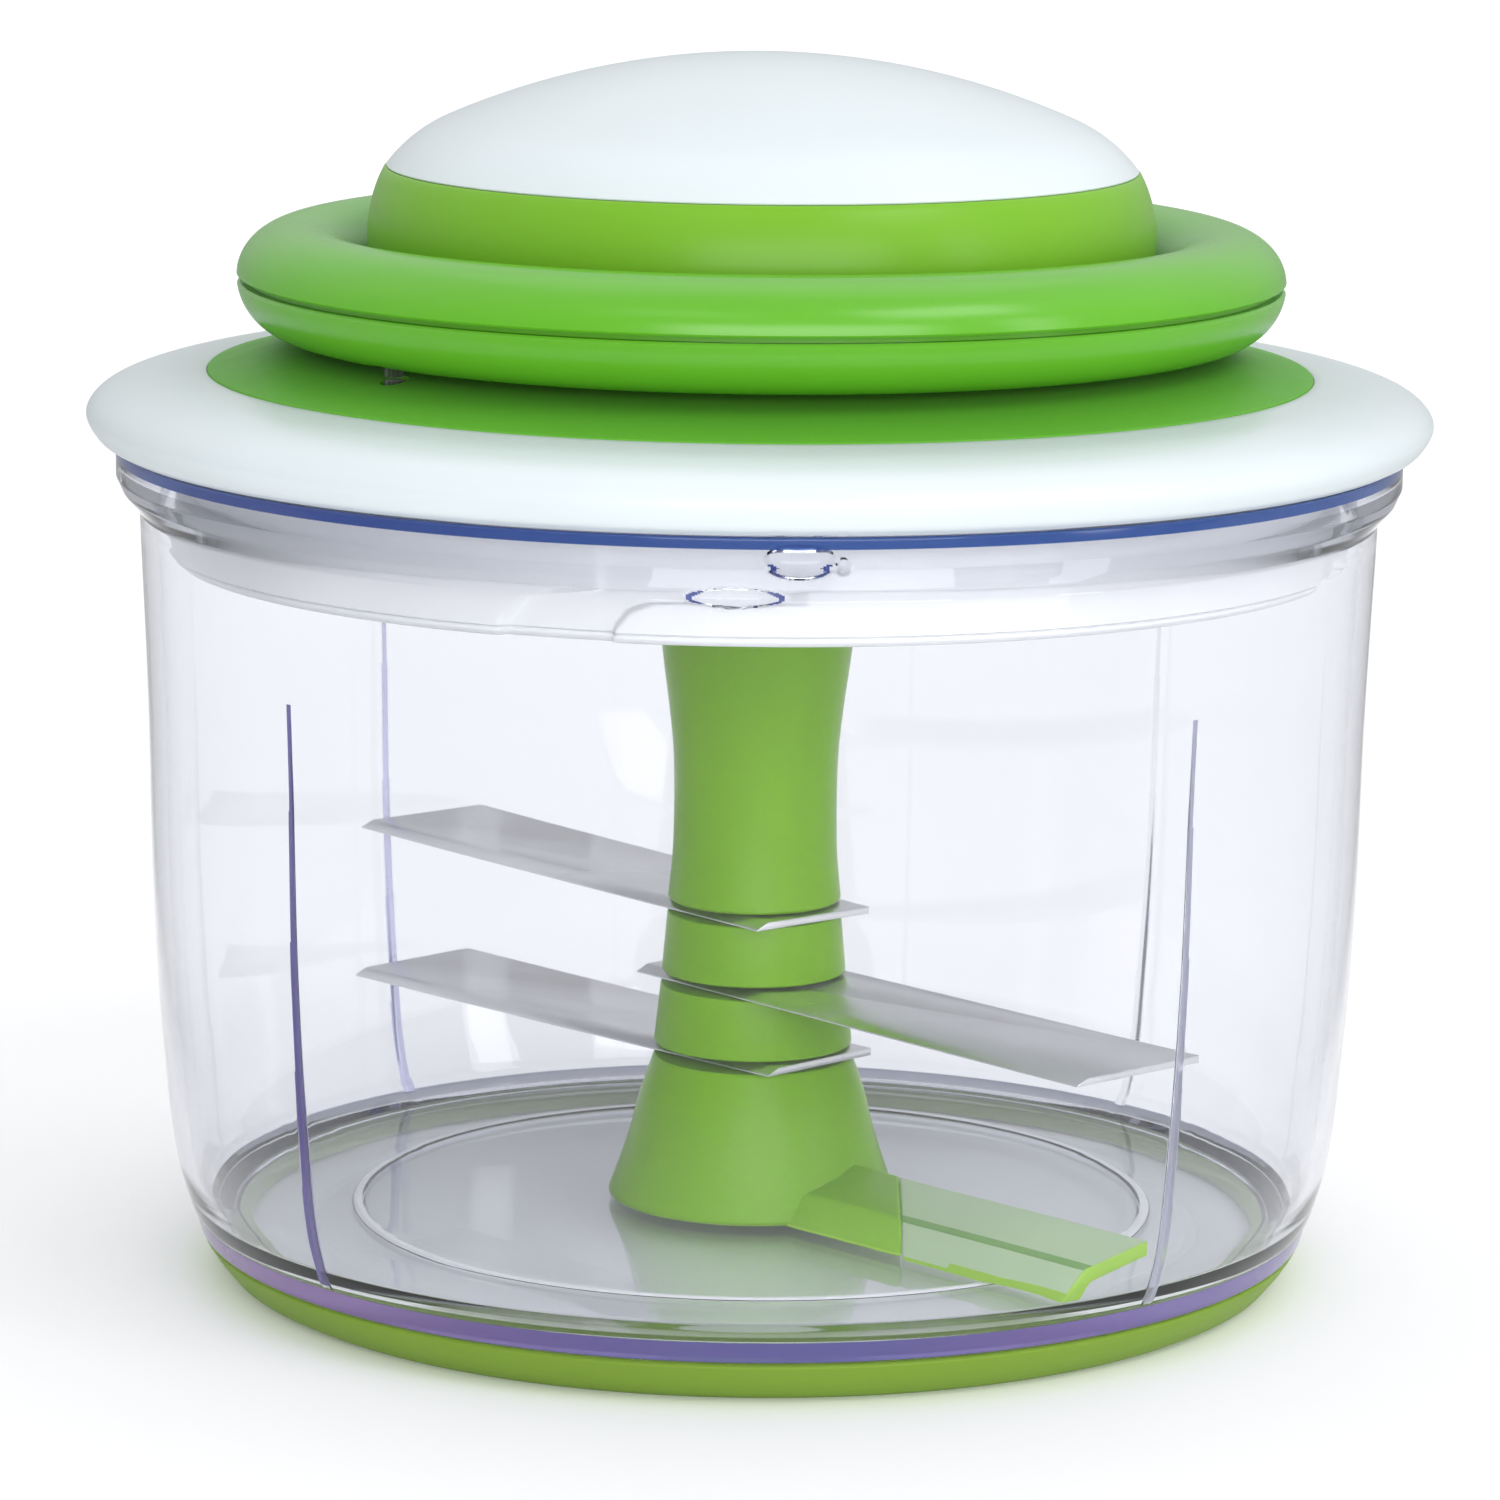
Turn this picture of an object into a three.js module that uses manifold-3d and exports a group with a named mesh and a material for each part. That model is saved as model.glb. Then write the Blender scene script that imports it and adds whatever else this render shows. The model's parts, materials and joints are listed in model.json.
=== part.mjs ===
// Hand-pulled food chopper: a clear bowl on a green base, a bayonet lid with a domed spring housing,
// a pull ring on a cord, and a three-bladed column that the cord drum turns through a ratchet.
// Millimetres, +Z up, origin at the centre of the base where it meets the table.
// Azimuths are in degrees from the front (-Y), growing towards the right (+X).

import * as THREE from 'three';
import { mergeVertices } from 'three/addons/utils/BufferGeometryUtils.js';
import Module from 'manifold-3d';

const wasm = await Module();
wasm.setup();

// ---- driving dimensions ----

const GAP = 0.3;
const BIG_SEGMENTS = 32;
const MID_SEGMENTS = 24;
const SMALL_SEGMENTS = 10;

const BASE_RADIUS = 60.4;
const BASE_HEIGHT = 4.6;
const BOWL_BOTTOM = 4.9;
const FLOOR_TOP = 7.0;
const RIM_TOP = 91.0;
const RIM_RADIUS = 69.4;
const RIB_AZIMUTHS = [-47, 43, 133, 223];
const RIB_WIDTH = 1.8;
// A rib's side, in [radius, height]: the outer edge is buried in the wall, the inner edge fades out upwards.
const RIB_OUTLINE = [
  [59.4, 8.0], [60.8, 8.2], [62.2, 12], [63.7, 25], [64.9, 45], [65.2, 71], [64.4, 71], [63.2, 40],
  [62.0, 22], [60.3, 12],
];
const NUB_COUNT = 4;
const NUB_AZIMUTH = -2;
const NUB_HEIGHT = 84.9;
const STOP_AZIMUTH = 3.5;
const STOP_HEIGHT = 88;

const LID_RADIUS = 72.5;
const LID_TOP = 98.9;
const INLAY_RADIUS = 59.3;
const INLAY_TOP = 102.2;
const SKIRT_RADIUS = 63.5;
const SKIRT_BOTTOM = 79.1;
const SKIRT_FLOOR = 82.1;
const SKIRT_LEDGE = 86.5;
const COVER_UNDERSIDE = 95.0;
const COVER_HOLE = 34;
const SKIRT_SCREW_RADIUS = 54;
const BAND_SCREW_RADIUS = 38;
const HOUSING_SCREW_RADIUS = 24;
const SKIRT_SCREW_AZIMUTHS = [0, 90, 180, 270];
const BAND_SCREW_AZIMUTHS = [60, 180, 300];
const HOUSING_SCREW_AZIMUTHS = [0, 120, 240];

const DOME_TOP = 132.9;
const DOME_SPLIT = 120.6;

const RING_CENTRE = 50;
const RING_HEIGHT = 109;
const RING_TUBE = 6.4;
// The upper shell is a little flatter than round.
const RING_FLATTEN = 0.875;
const RING_WALL = 1.8;
const RING_SEAM = 0.6;
const CORD_AZIMUTH = -49;
const CORD_RADIUS = 1.0;

const COLUMN_BOTTOM = 7.5;
const COLUMN_TOP = 78.6;
const BLADE_THICKNESS = 0.8;
const BLADE_HALF_WIDTH = 8.8;
const TAIL_HALF_WIDTH = 7.9;
const CORE_RADIUS = 4.0;
const SHAFT_RADIUS = 4.4;
const BLADES = [
  { name: 'blade_upper', z: 40.0, azimuth: -140.5, inner: 10.1, outer: 61.9 },
  { name: 'blade_middle', z: 32.0, azimuth: 42, inner: 10.5, outer: 58.8 },
  { name: 'blade_lower', z: 24.0, azimuth: -135.6, inner: 10.5, outer: 57.3 },
];
const ARM_AZIMUTH = 44;

const AXLE_RADIUS = 2.5;
const DRUM_FLANGE = 25.5;
const DRUM_CORE = 15;
const DRUM_BOTTOM = 87.9;
const CORD_LEVEL = 91.6;
const CUP_RADIUS = 29.5;
const TOOTH_COUNT = 12;
const TOOTH_ROOT = 26.9;
const TOOTH_CREST = 25.0;
const TOOTH_FACE_ANGLE = 36;
const PAWL_PIN_RADIUS = 14;
const PAWL_TIP_RADIUS = 25.6;
const PAWL_TIP_ANGLE = 34;
const SPRING_TURNS = 5;

// ---- materials ----

const plastic = (color, roughness) => new THREE.MeshStandardMaterial({ color, roughness });
const steel = (roughness = 0.3) => new THREE.MeshStandardMaterial({
  color: 0xc4c5c7,
  roughness,
  metalness: 1,
});
const clear = (color, opacity) => new THREE.MeshStandardMaterial({
  color,
  roughness: 0.05,
  transparent: true,
  opacity,
});
const WHITE = 0xeff6f6;
const GREEN = 0x6cbf3a;
const INLAY_GREEN = 0x64b044;
const BASE_GREEN = 0x7b9a34;
const COLUMN_GREEN = 0x7eb842;
const NYLON = 0xd9dbd6;
const CORD = 0x3a4a34;

// ---- shape helpers ----

const radians = (degrees) => (degrees * Math.PI) / 180;

function at(radius, azimuth, z = 0) {
  const a = radians(azimuth);
  return new THREE.Vector3(radius * Math.sin(a), -radius * Math.cos(a), z);
}

// Turns a profile of [radius, height] pairs about Z. It runs from the bottom outwards, up and back in.
function lathe(profile, segments = BIG_SEGMENTS) {
  const points = profile.map(([r, z]) => new THREE.Vector2(r, z));
  const closedOnAxis = profile[0][0] === 0 && profile[profile.length - 1][0] === 0;
  if (!closedOnAxis) points.push(points[0].clone());
  return new THREE.LatheGeometry(points, segments).rotateX(Math.PI / 2);
}

function tubeRing(inner, outer, bottom, top, segments = BIG_SEGMENTS) {
  return lathe([[inner, bottom], [outer, bottom], [outer, top], [inner, top]], segments);
}

function disc(radius, bottom, top, segments = BIG_SEGMENTS) {
  return lathe([[0, bottom], [radius, bottom], [radius, top], [0, top]], segments);
}

// Extrudes an outline of [x, y] pairs upwards between two heights.
function prism(outline, bottom, top, holes = []) {
  const shape = new THREE.Shape(outline.map(([x, y]) => new THREE.Vector2(x, y)));
  for (const hole of holes) shape.holes.push(new THREE.Path(hole.map(([x, y]) => new THREE.Vector2(x, y))));
  const geometry = new THREE.ExtrudeGeometry(shape, { depth: top - bottom, bevelEnabled: false });
  return geometry.translate(0, 0, bottom);
}

// A plate that stands in the plane through the axis at an azimuth: its outline is in [radius, height].
function radialPlate(outline, width, azimuth) {
  return prism(outline, -width / 2, width / 2).rotateX(Math.PI / 2).rotateZ(radians(azimuth - 90));
}

function circle(radius, count) {
  return Array.from({ length: count }, (_, i) => {
    const a = (2 * Math.PI * i) / count;
    return [radius * Math.cos(a), radius * Math.sin(a)];
  });
}

function tubeAlong(points, radius, steps, sides = 8) {
  const path = new THREE.CatmullRomCurve3(points, false, 'centripetal');
  const shape = new THREE.Shape(circle(radius, sides).map(([x, y]) => new THREE.Vector2(x, y)));
  return new THREE.ExtrudeGeometry(shape, { steps, extrudePath: path, bevelEnabled: false });
}

function toSolid(geometry) {
  const bare = geometry.clone();
  bare.deleteAttribute('normal');
  bare.deleteAttribute('uv');
  const merged = mergeVertices(bare, 1e-3);
  const vertProperties = merged.attributes.position.array;
  const triVerts = new Uint32Array(merged.index.array);
  return new wasm.Manifold(new wasm.Mesh({ numProp: 3, vertProperties, triVerts }));
}

function toGeometry(solid) {
  const mesh = solid.getMesh();
  const geometry = new THREE.BufferGeometry();
  geometry.setAttribute('position', new THREE.BufferAttribute(mesh.vertProperties, 3));
  geometry.setIndex(new THREE.BufferAttribute(mesh.triVerts, 1));
  geometry.computeVertexNormals();
  return geometry;
}

function join(...geometries) {
  return toGeometry(geometries.map(toSolid).reduce((whole, solid) => whole.add(solid)));
}

function cut(geometry, ...tools) {
  return toGeometry(tools.map(toSolid).reduce((whole, tool) => whole.subtract(tool), toSolid(geometry)));
}

function common(geometry, other) {
  return toGeometry(toSolid(geometry).intersect(toSolid(other)));
}

// An arc of a profile about a centre, from one angle to another in degrees.
function arc(centreR, centreZ, radius, from, to, count) {
  return Array.from({ length: count + 1 }, (_, i) => {
    const a = radians(from + ((to - from) * i) / count);
    return [centreR + radius * Math.cos(a), centreZ + radius * Math.sin(a)];
  });
}

const part = new THREE.Group();

function add(name, geometry, material) {
  const mesh = new THREE.Mesh(geometry, material);
  mesh.name = name;
  part.add(mesh);
  return mesh;
}

// ---- base: a grip ring round a flat plate ----

function makeBase() {
  add('base_grip_ring', lathe([
    [53.8, 0], [56.2, 0], [57.8, 0.8], [59.3, 2.6], [BASE_RADIUS, BASE_HEIGHT],
    [55.4, BASE_HEIGHT], [55.4, 3.5], [57.6, 3.5], [57.6, 1.2], [53.8, 1.2],
  ]), plastic(BASE_GREEN, 0.55));
  add('base_plate', disc(57.3, 1.5, 3.2), plastic(0xd2d5d4, 0.5));
}

// ---- bowl: clear wall, flared rim, four ribs, four bayonet nubs, centre boss and pin ----

function bowlWall() {
  return lathe([
    [0, 5.2], [56.8, 5.2], [57.2, BOWL_BOTTOM], [61.2, BOWL_BOTTOM], [61.6, 6.8], [63.0, 12], [64.6, 25],
    [65.6, 40.7], [66.1, 62.8], [66.9, 83.6], [68.9, 86.2], [RIM_RADIUS, 87.6], [RIM_RADIUS, RIM_TOP],
    [65.4, RIM_TOP], [64.6, 73.9], [64.1, 51.8], [62.7, 25], [61.1, 12], [59.6, 8.2], [57.4, 6.8],
    [42.6, 6.6], [41.4, FLOOR_TOP], [5.5, FLOOR_TOP], [4.4, 9.6], [2.3, 9.6], [2.3, 6.4], [0, 6.4],
  ]);
}

function lens(radius, azimuth, z, halfWidth, halfDepth, halfHeight) {
  const centre = at(radius, azimuth, z);
  const ball = new THREE.SphereGeometry(1, 8, 4).rotateX(Math.PI / 2);
  ball.scale(halfWidth, halfDepth, halfHeight);
  return ball.rotateZ(radians(azimuth)).translate(centre.x, centre.y, centre.z);
}

function makeBowl() {
  const extras = RIB_AZIMUTHS.map((azimuth) => radialPlate(RIB_OUTLINE, RIB_WIDTH, azimuth));
  for (let i = 0; i < NUB_COUNT; i += 1) {
    const turn = (360 * i) / NUB_COUNT;
    extras.push(lens(65.2, NUB_AZIMUTH + turn, NUB_HEIGHT, 4.75, 1.35, 1.35));
    extras.push(lens(65.5, STOP_AZIMUTH + turn, STOP_HEIGHT, 3.4, 1.4, 1.4));
  }
  add('bowl', join(bowlWall(), ...extras), clear(0xe4e6f4, 0.3));
  const pin = lathe([[0, 6.7], [2.0, 6.7], [2.0, 18.2], [1.2, 19.2], [0, 19.2]], SMALL_SEGMENTS);
  add('pivot_pin', pin, steel());
}

// ---- lid: cover, inlay, bayonet skirt, seal ----

function screwBoss(radius, azimuth, size, bottom, top) {
  const centre = at(radius, azimuth);
  return disc(size, bottom, top, SMALL_SEGMENTS).translate(centre.x, centre.y, 0);
}

function makeLidCover() {
  const body = lathe([
    [COVER_HOLE, COVER_UNDERSIDE], [64.2, COVER_UNDERSIDE], [64.2, RIM_TOP + GAP], [65.4, RIM_TOP + GAP],
    [65.4, 92.9], [68.9, 92.9], [68.9, RIM_TOP + GAP], [69.9, RIM_TOP + GAP], [71.5, 92.3],
    [LID_RADIUS, 94.6], [70.5, 96.8], [66, 98.2], [59.7, LID_TOP], [59.7, 97], [COVER_HOLE, 97],
  ]);
  const bosses = SKIRT_SCREW_AZIMUTHS.map((azimuth) =>
    screwBoss(SKIRT_SCREW_RADIUS, azimuth, 3.4, SKIRT_FLOOR + GAP, COVER_UNDERSIDE + 0.5));
  const bores = SKIRT_SCREW_AZIMUTHS.map((azimuth) =>
    screwBoss(SKIRT_SCREW_RADIUS, azimuth, 1.75, SKIRT_FLOOR, 91.5));
  const bandHoles = BAND_SCREW_AZIMUTHS.map((azimuth) => screwBoss(BAND_SCREW_RADIUS, azimuth, 1.5, 94, 98));
  const guideHole = screwBoss(RING_CENTRE, CORD_AZIMUTH, 3.0, 94, 98);
  add('lid_cover', cut(join(body, ...bosses), ...bores, ...bandHoles, guideHole), plastic(WHITE, 0.3));
}

function makeLidInlay() {
  const body = lathe([
    [46.7, 97.3], [INLAY_RADIUS, 97.3], [INLAY_RADIUS, LID_TOP + 0.1], [46.7, INLAY_TOP],
  ]);
  const cordHole = screwBoss(RING_CENTRE, CORD_AZIMUTH, CORD_RADIUS + 0.5, 97, INLAY_TOP + 1);
  add('lid_inlay', cut(body, cordHole), plastic(INLAY_GREEN, 0.45));
}

// One bayonet recess: an entry slot that leans to the right and a level groove that ends at the nub.
function bayonetRecess(turn) {
  const floorRadius = SKIRT_RADIUS - 1.1;
  const across = (azimuth) => radians(azimuth) * SKIRT_RADIUS;
  const outline = [
    [across(-24), SKIRT_BOTTOM - 1], [across(-13), SKIRT_BOTTOM - 1], [across(-12.3), 81.2],
    [across(-8), 83.6], [across(4), 83.6], [across(4), SKIRT_LEDGE + 1], [across(-18), SKIRT_LEDGE + 1],
    [across(-20), 84.5], [across(-23), 81.5],
  ];
  const slab = prism(outline, 0, 6).rotateX(Math.PI / 2);
  const position = slab.getAttribute('position');
  for (let i = 0; i < position.count; i += 1) {
    const azimuth = position.getX(i) / SKIRT_RADIUS + radians(turn);
    const radius = floorRadius - position.getY(i);
    position.setXYZ(i, radius * Math.sin(azimuth), -radius * Math.cos(azimuth), position.getZ(i));
  }
  return slab;
}

function makeLidSkirt() {
  const body = lathe([
    [8.3, SKIRT_BOTTOM], [62.9, SKIRT_BOTTOM], [SKIRT_RADIUS, 79.7], [SKIRT_RADIUS, SKIRT_LEDGE],
    [62.0, SKIRT_LEDGE], [62.0, COVER_UNDERSIDE - GAP], [60.2, COVER_UNDERSIDE - GAP],
    [60.2, SKIRT_FLOOR], [8.3, SKIRT_FLOOR],
  ]);
  const tools = SKIRT_SCREW_AZIMUTHS.flatMap((azimuth) => [
    screwBoss(SKIRT_SCREW_RADIUS, azimuth, 3.3, SKIRT_BOTTOM - 1, 80.7),
    screwBoss(SKIRT_SCREW_RADIUS, azimuth, 1.8, 80, SKIRT_FLOOR + 1),
    bayonetRecess(azimuth),
  ]);
  add('lid_skirt', cut(body, ...tools), plastic(WHITE, 0.35));
}

function makeLidSeal() {
  add('lid_seal', tubeRing(66.1, 68.3, RIM_TOP + GAP, 92.6), plastic(0xe8eceb, 0.7));
}

// ---- dome: green band below, white cap above ----

function makeDome() {
  add('dome_band', lathe([
    [35.6, 97.3], [46.3, 97.3], [46.3, 102.2], [45.4, 103.8], [42.9, 104.8], [42.2, 106.5], [42.5, 112.8],
    [41.6, 119.2], [40.7, DOME_SPLIT], [39.6, DOME_SPLIT], [39.6, 117.2], [40.2, 106], [40.0, 99.4],
    [35.6, 99.4],
  ]), plastic(GREEN, 0.35));
  const cap = lathe([
    [37.2, 117.6], [39.2, 117.6], [39.2, DOME_SPLIT + GAP], [40.5, DOME_SPLIT + GAP], [38.9, 122.5],
    [37.0, 124.1], [34.1, 125.8], [25, 129.1], [13.2, 131.9], [0, DOME_TOP],
    [0, 130.6], [13, 129.6], [24.4, 126.9], [33, 123.1], [37.2, 120],
  ]);
  add('dome_cap', domeWithBosses(cap), plastic(0xf2f8fa, 0.3));
}

// The cap's underside carries the axle's socket and three posts for the spring housing.
function domeWithBosses(cap) {
  const socket = disc(5.5, 118.2, 131.4, MID_SEGMENTS);
  const posts = HOUSING_SCREW_AZIMUTHS.map((azimuth) =>
    screwBoss(HOUSING_SCREW_RADIUS, azimuth, 3.2, 115.2, 128));
  const axleBore = disc(AXLE_RADIUS + GAP, 117, 126, SMALL_SEGMENTS);
  const bores = HOUSING_SCREW_AZIMUTHS.map((azimuth) =>
    screwBoss(HOUSING_SCREW_RADIUS, azimuth, 1.6, 115, 123));
  return cut(join(cap, socket, ...posts), axleBore, ...bores);
}

// ---- pull ring: two shells, the cord's riser and its knot ----

function makePullRing() {
  const inside = RING_TUBE - RING_WALL;
  const open = (RING_SEAM / RING_TUBE) * (180 / Math.PI);
  const openInside = (RING_SEAM / inside) * (180 / Math.PI);
  const outer = (from, to) => arc(RING_CENTRE, RING_HEIGHT, RING_TUBE, from, to, 6);
  const inner = (from, to) => arc(RING_CENTRE, RING_HEIGHT, inside, from, to, 5);
  const flattened = ([r, z]) => [r, RING_HEIGHT + (z - RING_HEIGHT) * RING_FLATTEN];
  const upper = [...outer(0, 180), ...inner(180, 0)].map(flattened);
  const lower = [...outer(180 + open, 360 - open), ...inner(360 - openInside, 180 + openInside)];
  const hole = screwBoss(RING_CENTRE, CORD_AZIMUTH, CORD_RADIUS + 0.5, 101, 106);
  add('ring_upper_shell', lathe(upper), plastic(GREEN, 0.3));
  add('ring_lower_shell', cut(lathe(lower), hole), plastic(GREEN, 0.3));
  const anchor = at(RING_CENTRE, CORD_AZIMUTH);
  const riser = disc(CORD_RADIUS, 101.8, 104.4, 8).translate(anchor.x, anchor.y, 0);
  add('cord_riser', riser, plastic(CORD, 0.8));
  const knot = new THREE.SphereGeometry(2.2, 8, 6).translate(anchor.x, anchor.y, 106.9);
  add('cord_knot', knot, plastic(CORD, 0.8));
}

// ---- drive: axle, drum, spring, ratchet ----

function makeAxle() {
  add('centre_axle', disc(AXLE_RADIUS, 85.0, 125.4, SMALL_SEGMENTS), steel());
  add('axle_clip', tubeRing(AXLE_RADIUS + GAP, 5.0, 86.6, 87.4, SMALL_SEGMENTS), steel());
  const guide = at(RING_CENTRE, CORD_AZIMUTH);
  add('cord_guide', lathe([
    [1.5, 93.8], [2.6, 93.8], [2.6, 96.8], [1.5, 96.8],
  ], SMALL_SEGMENTS).translate(guide.x, guide.y, 0), steel(0.25));
}

function makeDrum() {
  add('cord_drum', lathe([
    [AXLE_RADIUS + 0.35, DRUM_BOTTOM], [DRUM_FLANGE, DRUM_BOTTOM], [DRUM_FLANGE, 89.2],
    [DRUM_CORE, 89.2], [DRUM_CORE, 94.0], [7.4, 94.0], [7.4, 111.6], [AXLE_RADIUS + 0.35, 111.6],
  ], MID_SEGMENTS), plastic(NYLON, 0.5));
  add('drum_flange', tubeRing(7.7, DRUM_FLANGE, 94.3, 95.5, MID_SEGMENTS), plastic(NYLON, 0.5));
  add('cord_winding', lathe([
    [DRUM_CORE + GAP, 89.8], [17.4, 89.5], [18.2, 90.3], [18.2, 92.9], [17.4, 93.7], [DRUM_CORE + GAP, 93.4],
  ], MID_SEGMENTS), plastic(CORD, 0.8));
}

function makeSpring() {
  const housing = lathe([
    [4.5, 113.0], [31.4, 113.0], [31.4, 99.8], [33, 99.8], [33, 114.4], [4.5, 114.4],
  ], MID_SEGMENTS);
  const holes = HOUSING_SCREW_AZIMUTHS.map((azimuth) =>
    screwBoss(HOUSING_SCREW_RADIUS, azimuth, 1.6, 112, 116));
  add('spring_housing', cut(housing, ...holes), plastic(NYLON, 0.5));
  const perTurn = 14;
  const count = SPRING_TURNS * perTurn;
  const inner = 8.1;
  const outer = 30.6;
  const strip = 0.5;
  const edge = (i, side) => {
    const a = (2 * Math.PI * i) / perTurn;
    const r = inner + ((outer - inner) * i) / count + side * strip;
    return [r * Math.cos(a), r * Math.sin(a)];
  };
  const outside = Array.from({ length: count + 1 }, (_, i) => edge(i, 1));
  const inside = Array.from({ length: count + 1 }, (_, i) => edge(count - i, 0));
  add('return_spring', prism([...outside, ...inside], 100.6, 110.6), steel(0.4));
}

// The ratchet cup: inward teeth, a disc, and a round journal that becomes the hexagonal drive shaft.
function makeDriveCup() {
  const teeth = [];
  for (let i = 0; i < TOOTH_COUNT; i += 1) {
    const face = radians(TOOTH_FACE_ANGLE + (360 * i) / TOOTH_COUNT);
    teeth.push([TOOTH_ROOT * Math.cos(face), TOOTH_ROOT * Math.sin(face)]);
    teeth.push([TOOTH_CREST * Math.cos(face + 0.01), TOOTH_CREST * Math.sin(face + 0.01)]);
  }
  const wall = prism(circle(CUP_RADIUS, MID_SEGMENTS), 84.2, 87.6, [teeth]);
  const floor = disc(CUP_RADIUS, 83.4, 84.4, MID_SEGMENTS);
  const journal = disc(5.1, 78.9, 83.5, MID_SEGMENTS);
  const shaft = disc(SHAFT_RADIUS, 64.0, 79.0, 6);
  add('drive_cup', join(wall, floor, journal, shaft), plastic(NYLON, 0.5));
  add('drive_bush', lathe([
    [5.5, 79.3], [8.0, 79.3], [8.0, 82.4], [10.2, 82.4], [10.2, 83.0], [5.5, 83.0],
  ], MID_SEGMENTS), new THREE.MeshStandardMaterial({ color: 0xb08d57, roughness: 0.4, metalness: 1 }));
}

function makePawls() {
  for (const [index, turn] of [0, 180].entries()) {
    const pin = [PAWL_PIN_RADIUS, 0];
    const tipAngle = radians(PAWL_TIP_ANGLE);
    const tip = [PAWL_TIP_RADIUS * Math.cos(tipAngle), PAWL_TIP_RADIUS * Math.sin(tipAngle)];
    const length = Math.hypot(tip[0] - pin[0], tip[1] - pin[1]);
    const lean = Math.atan2(tip[1] - pin[1], tip[0] - pin[0]);
    const outline = [
      [-2.4, -1.4], [-1.0, -2.6], [0.8, -2.6], [length - 0.8, -1.2], [length, 0.2],
      [length - 1.8, 1.1], [0.8, 2.6], [-1.0, 2.6], [-2.4, 1.4],
    ];
    const pawl = prism(outline, 84.8, 87.2, [circle(1.6, 8)]);
    pawl.rotateZ(lean).translate(pin[0], pin[1], 0).rotateZ(radians(turn));
    add(`pawl_${index + 1}`, pawl, steel(0.4));
    const post = disc(1.25, 84.9, DRUM_BOTTOM - GAP, 8).translate(pin[0], pin[1], 0).rotateZ(radians(turn));
    add(`pawl_pin_${index + 1}`, post, steel());
  }
}

// The cord's fixed run: off the drum at a tangent, level to the guide, then up through it.
function makeCordLead() {
  const guide = at(RING_CENTRE, CORD_AZIMUTH, CORD_LEVEL);
  const liftOff = 19.6;
  const guideAngle = Math.atan2(guide.y, guide.x);
  const tangent = guideAngle - Math.acos(liftOff / RING_CENTRE);
  const start = new THREE.Vector3(liftOff * Math.cos(tangent), liftOff * Math.sin(tangent), CORD_LEVEL);
  const along = guide.clone().sub(start).normalize();
  const before = (distance) => guide.clone().addScaledVector(along, -distance);
  const points = [
    start, before(24), before(12), before(6), before(3.6),
    before(1.1).setZ(CORD_LEVEL + 0.9), before(0.1).setZ(CORD_LEVEL + 3.4),
    guide.clone().setZ(96), guide.clone().setZ(101.4),
  ];
  add('cord_lead', tubeAlong(points, CORD_RADIUS, 26), plastic(CORD, 0.8));
}

// ---- blade column ----

function makeColumn() {
  const core = (bottom, top) => disc(CORE_RADIUS + GAP, bottom, top, 6);
  const half = BLADE_THICKNESS / 2 + GAP;
  const [upper, middle, lower] = BLADES.map((blade) => blade.z);
  const outerTop = lathe([
    [0, upper + half], [9.45, upper + half], [8.95, 47], [8.95, 56], [9.5, 62], [10.3, 68],
    [11.6, COLUMN_TOP], [0, COLUMN_TOP],
  ], MID_SEGMENTS);
  const socket = disc(SHAFT_RADIUS + GAP, 63.6, COLUMN_TOP + 1, 6);
  add('column_top', cut(outerTop, socket, core(upper, 54.3)), plastic(COLUMN_GREEN, 0.35));
  const spacer = (name, bottom, top, bottomRadius, topRadius) => {
    const body = lathe([[0, bottom], [bottomRadius, bottom], [topRadius, top], [0, top]], MID_SEGMENTS);
    add(name, cut(body, core(bottom - 1, top + 1)), plastic(COLUMN_GREEN, 0.35));
  };
  spacer('column_spacer_upper', middle + half, upper - half, 10.1, 9.5);
  spacer('column_spacer_lower', lower + half, middle - half, 10.9, 10.2);
  makeColumnBase(lower - half);
  add('column_core', disc(CORE_RADIUS, 21.2, 54, 6), steel());
}

// Sections across the scraper arm, in [sideways, height], seen along the arm.
const ARM_SECTION = [[-8, 7.4], [-5.8, 7.4], [-4.5, 9.1], [2.3, 11.3], [2.3, 12.8], [-5.2, 10.7]];
const TENON_SECTION = [[-4.6, 9.7], [2.0, 11.7], [2.0, 12.25], [-4.6, 10.25]];
const SLOT_SECTION = [[-4.8, 9.5], [2.2, 11.55], [2.2, 12.45], [-4.8, 10.45]];
const ROOT_SECTION = [[-7.9, 7.9], [2.5, 7.9], [2.5, 12.95], [-5.3, 10.85]];
const ROOT_END = 16;

function alongArm(section, from, to) {
  const bar = prism(section, from, to).rotateY(Math.PI / 2).rotateX(Math.PI / 2);
  return bar.rotateZ(radians(ARM_AZIMUTH - 90));
}

// A block that fills everything to the left of a plane.
function leftOf(x) {
  return new THREE.BoxGeometry(60, 120, 40).translate(x - 30, 0, 15);
}

function makeColumnBase(top) {
  const body = lathe([
    [0, COLUMN_BOTTOM], [15.4, COLUMN_BOTTOM], [15.9, 8.2], [14.5, 11.5], [12.5, 18.6], [11.0, top],
    [0, top],
  ], MID_SEGMENTS);
  const root = common(alongArm(ROOT_SECTION, 8, 34), leftOf(ROOT_END));
  const slot = alongArm(SLOT_SECTION, 17.6, 40);
  const pinBore = disc(2.4, 5, 19.6, SMALL_SEGMENTS);
  const bossBore = disc(5.9, 5, 10.1, MID_SEGMENTS);
  const coreSocket = disc(CORE_RADIUS + GAP, 20.9, top + 1, 6);
  const base = cut(join(body, root), slot, pinBore, bossBore, coreSocket);
  add('column_base', base, plastic(COLUMN_GREEN, 0.35));
}

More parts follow.
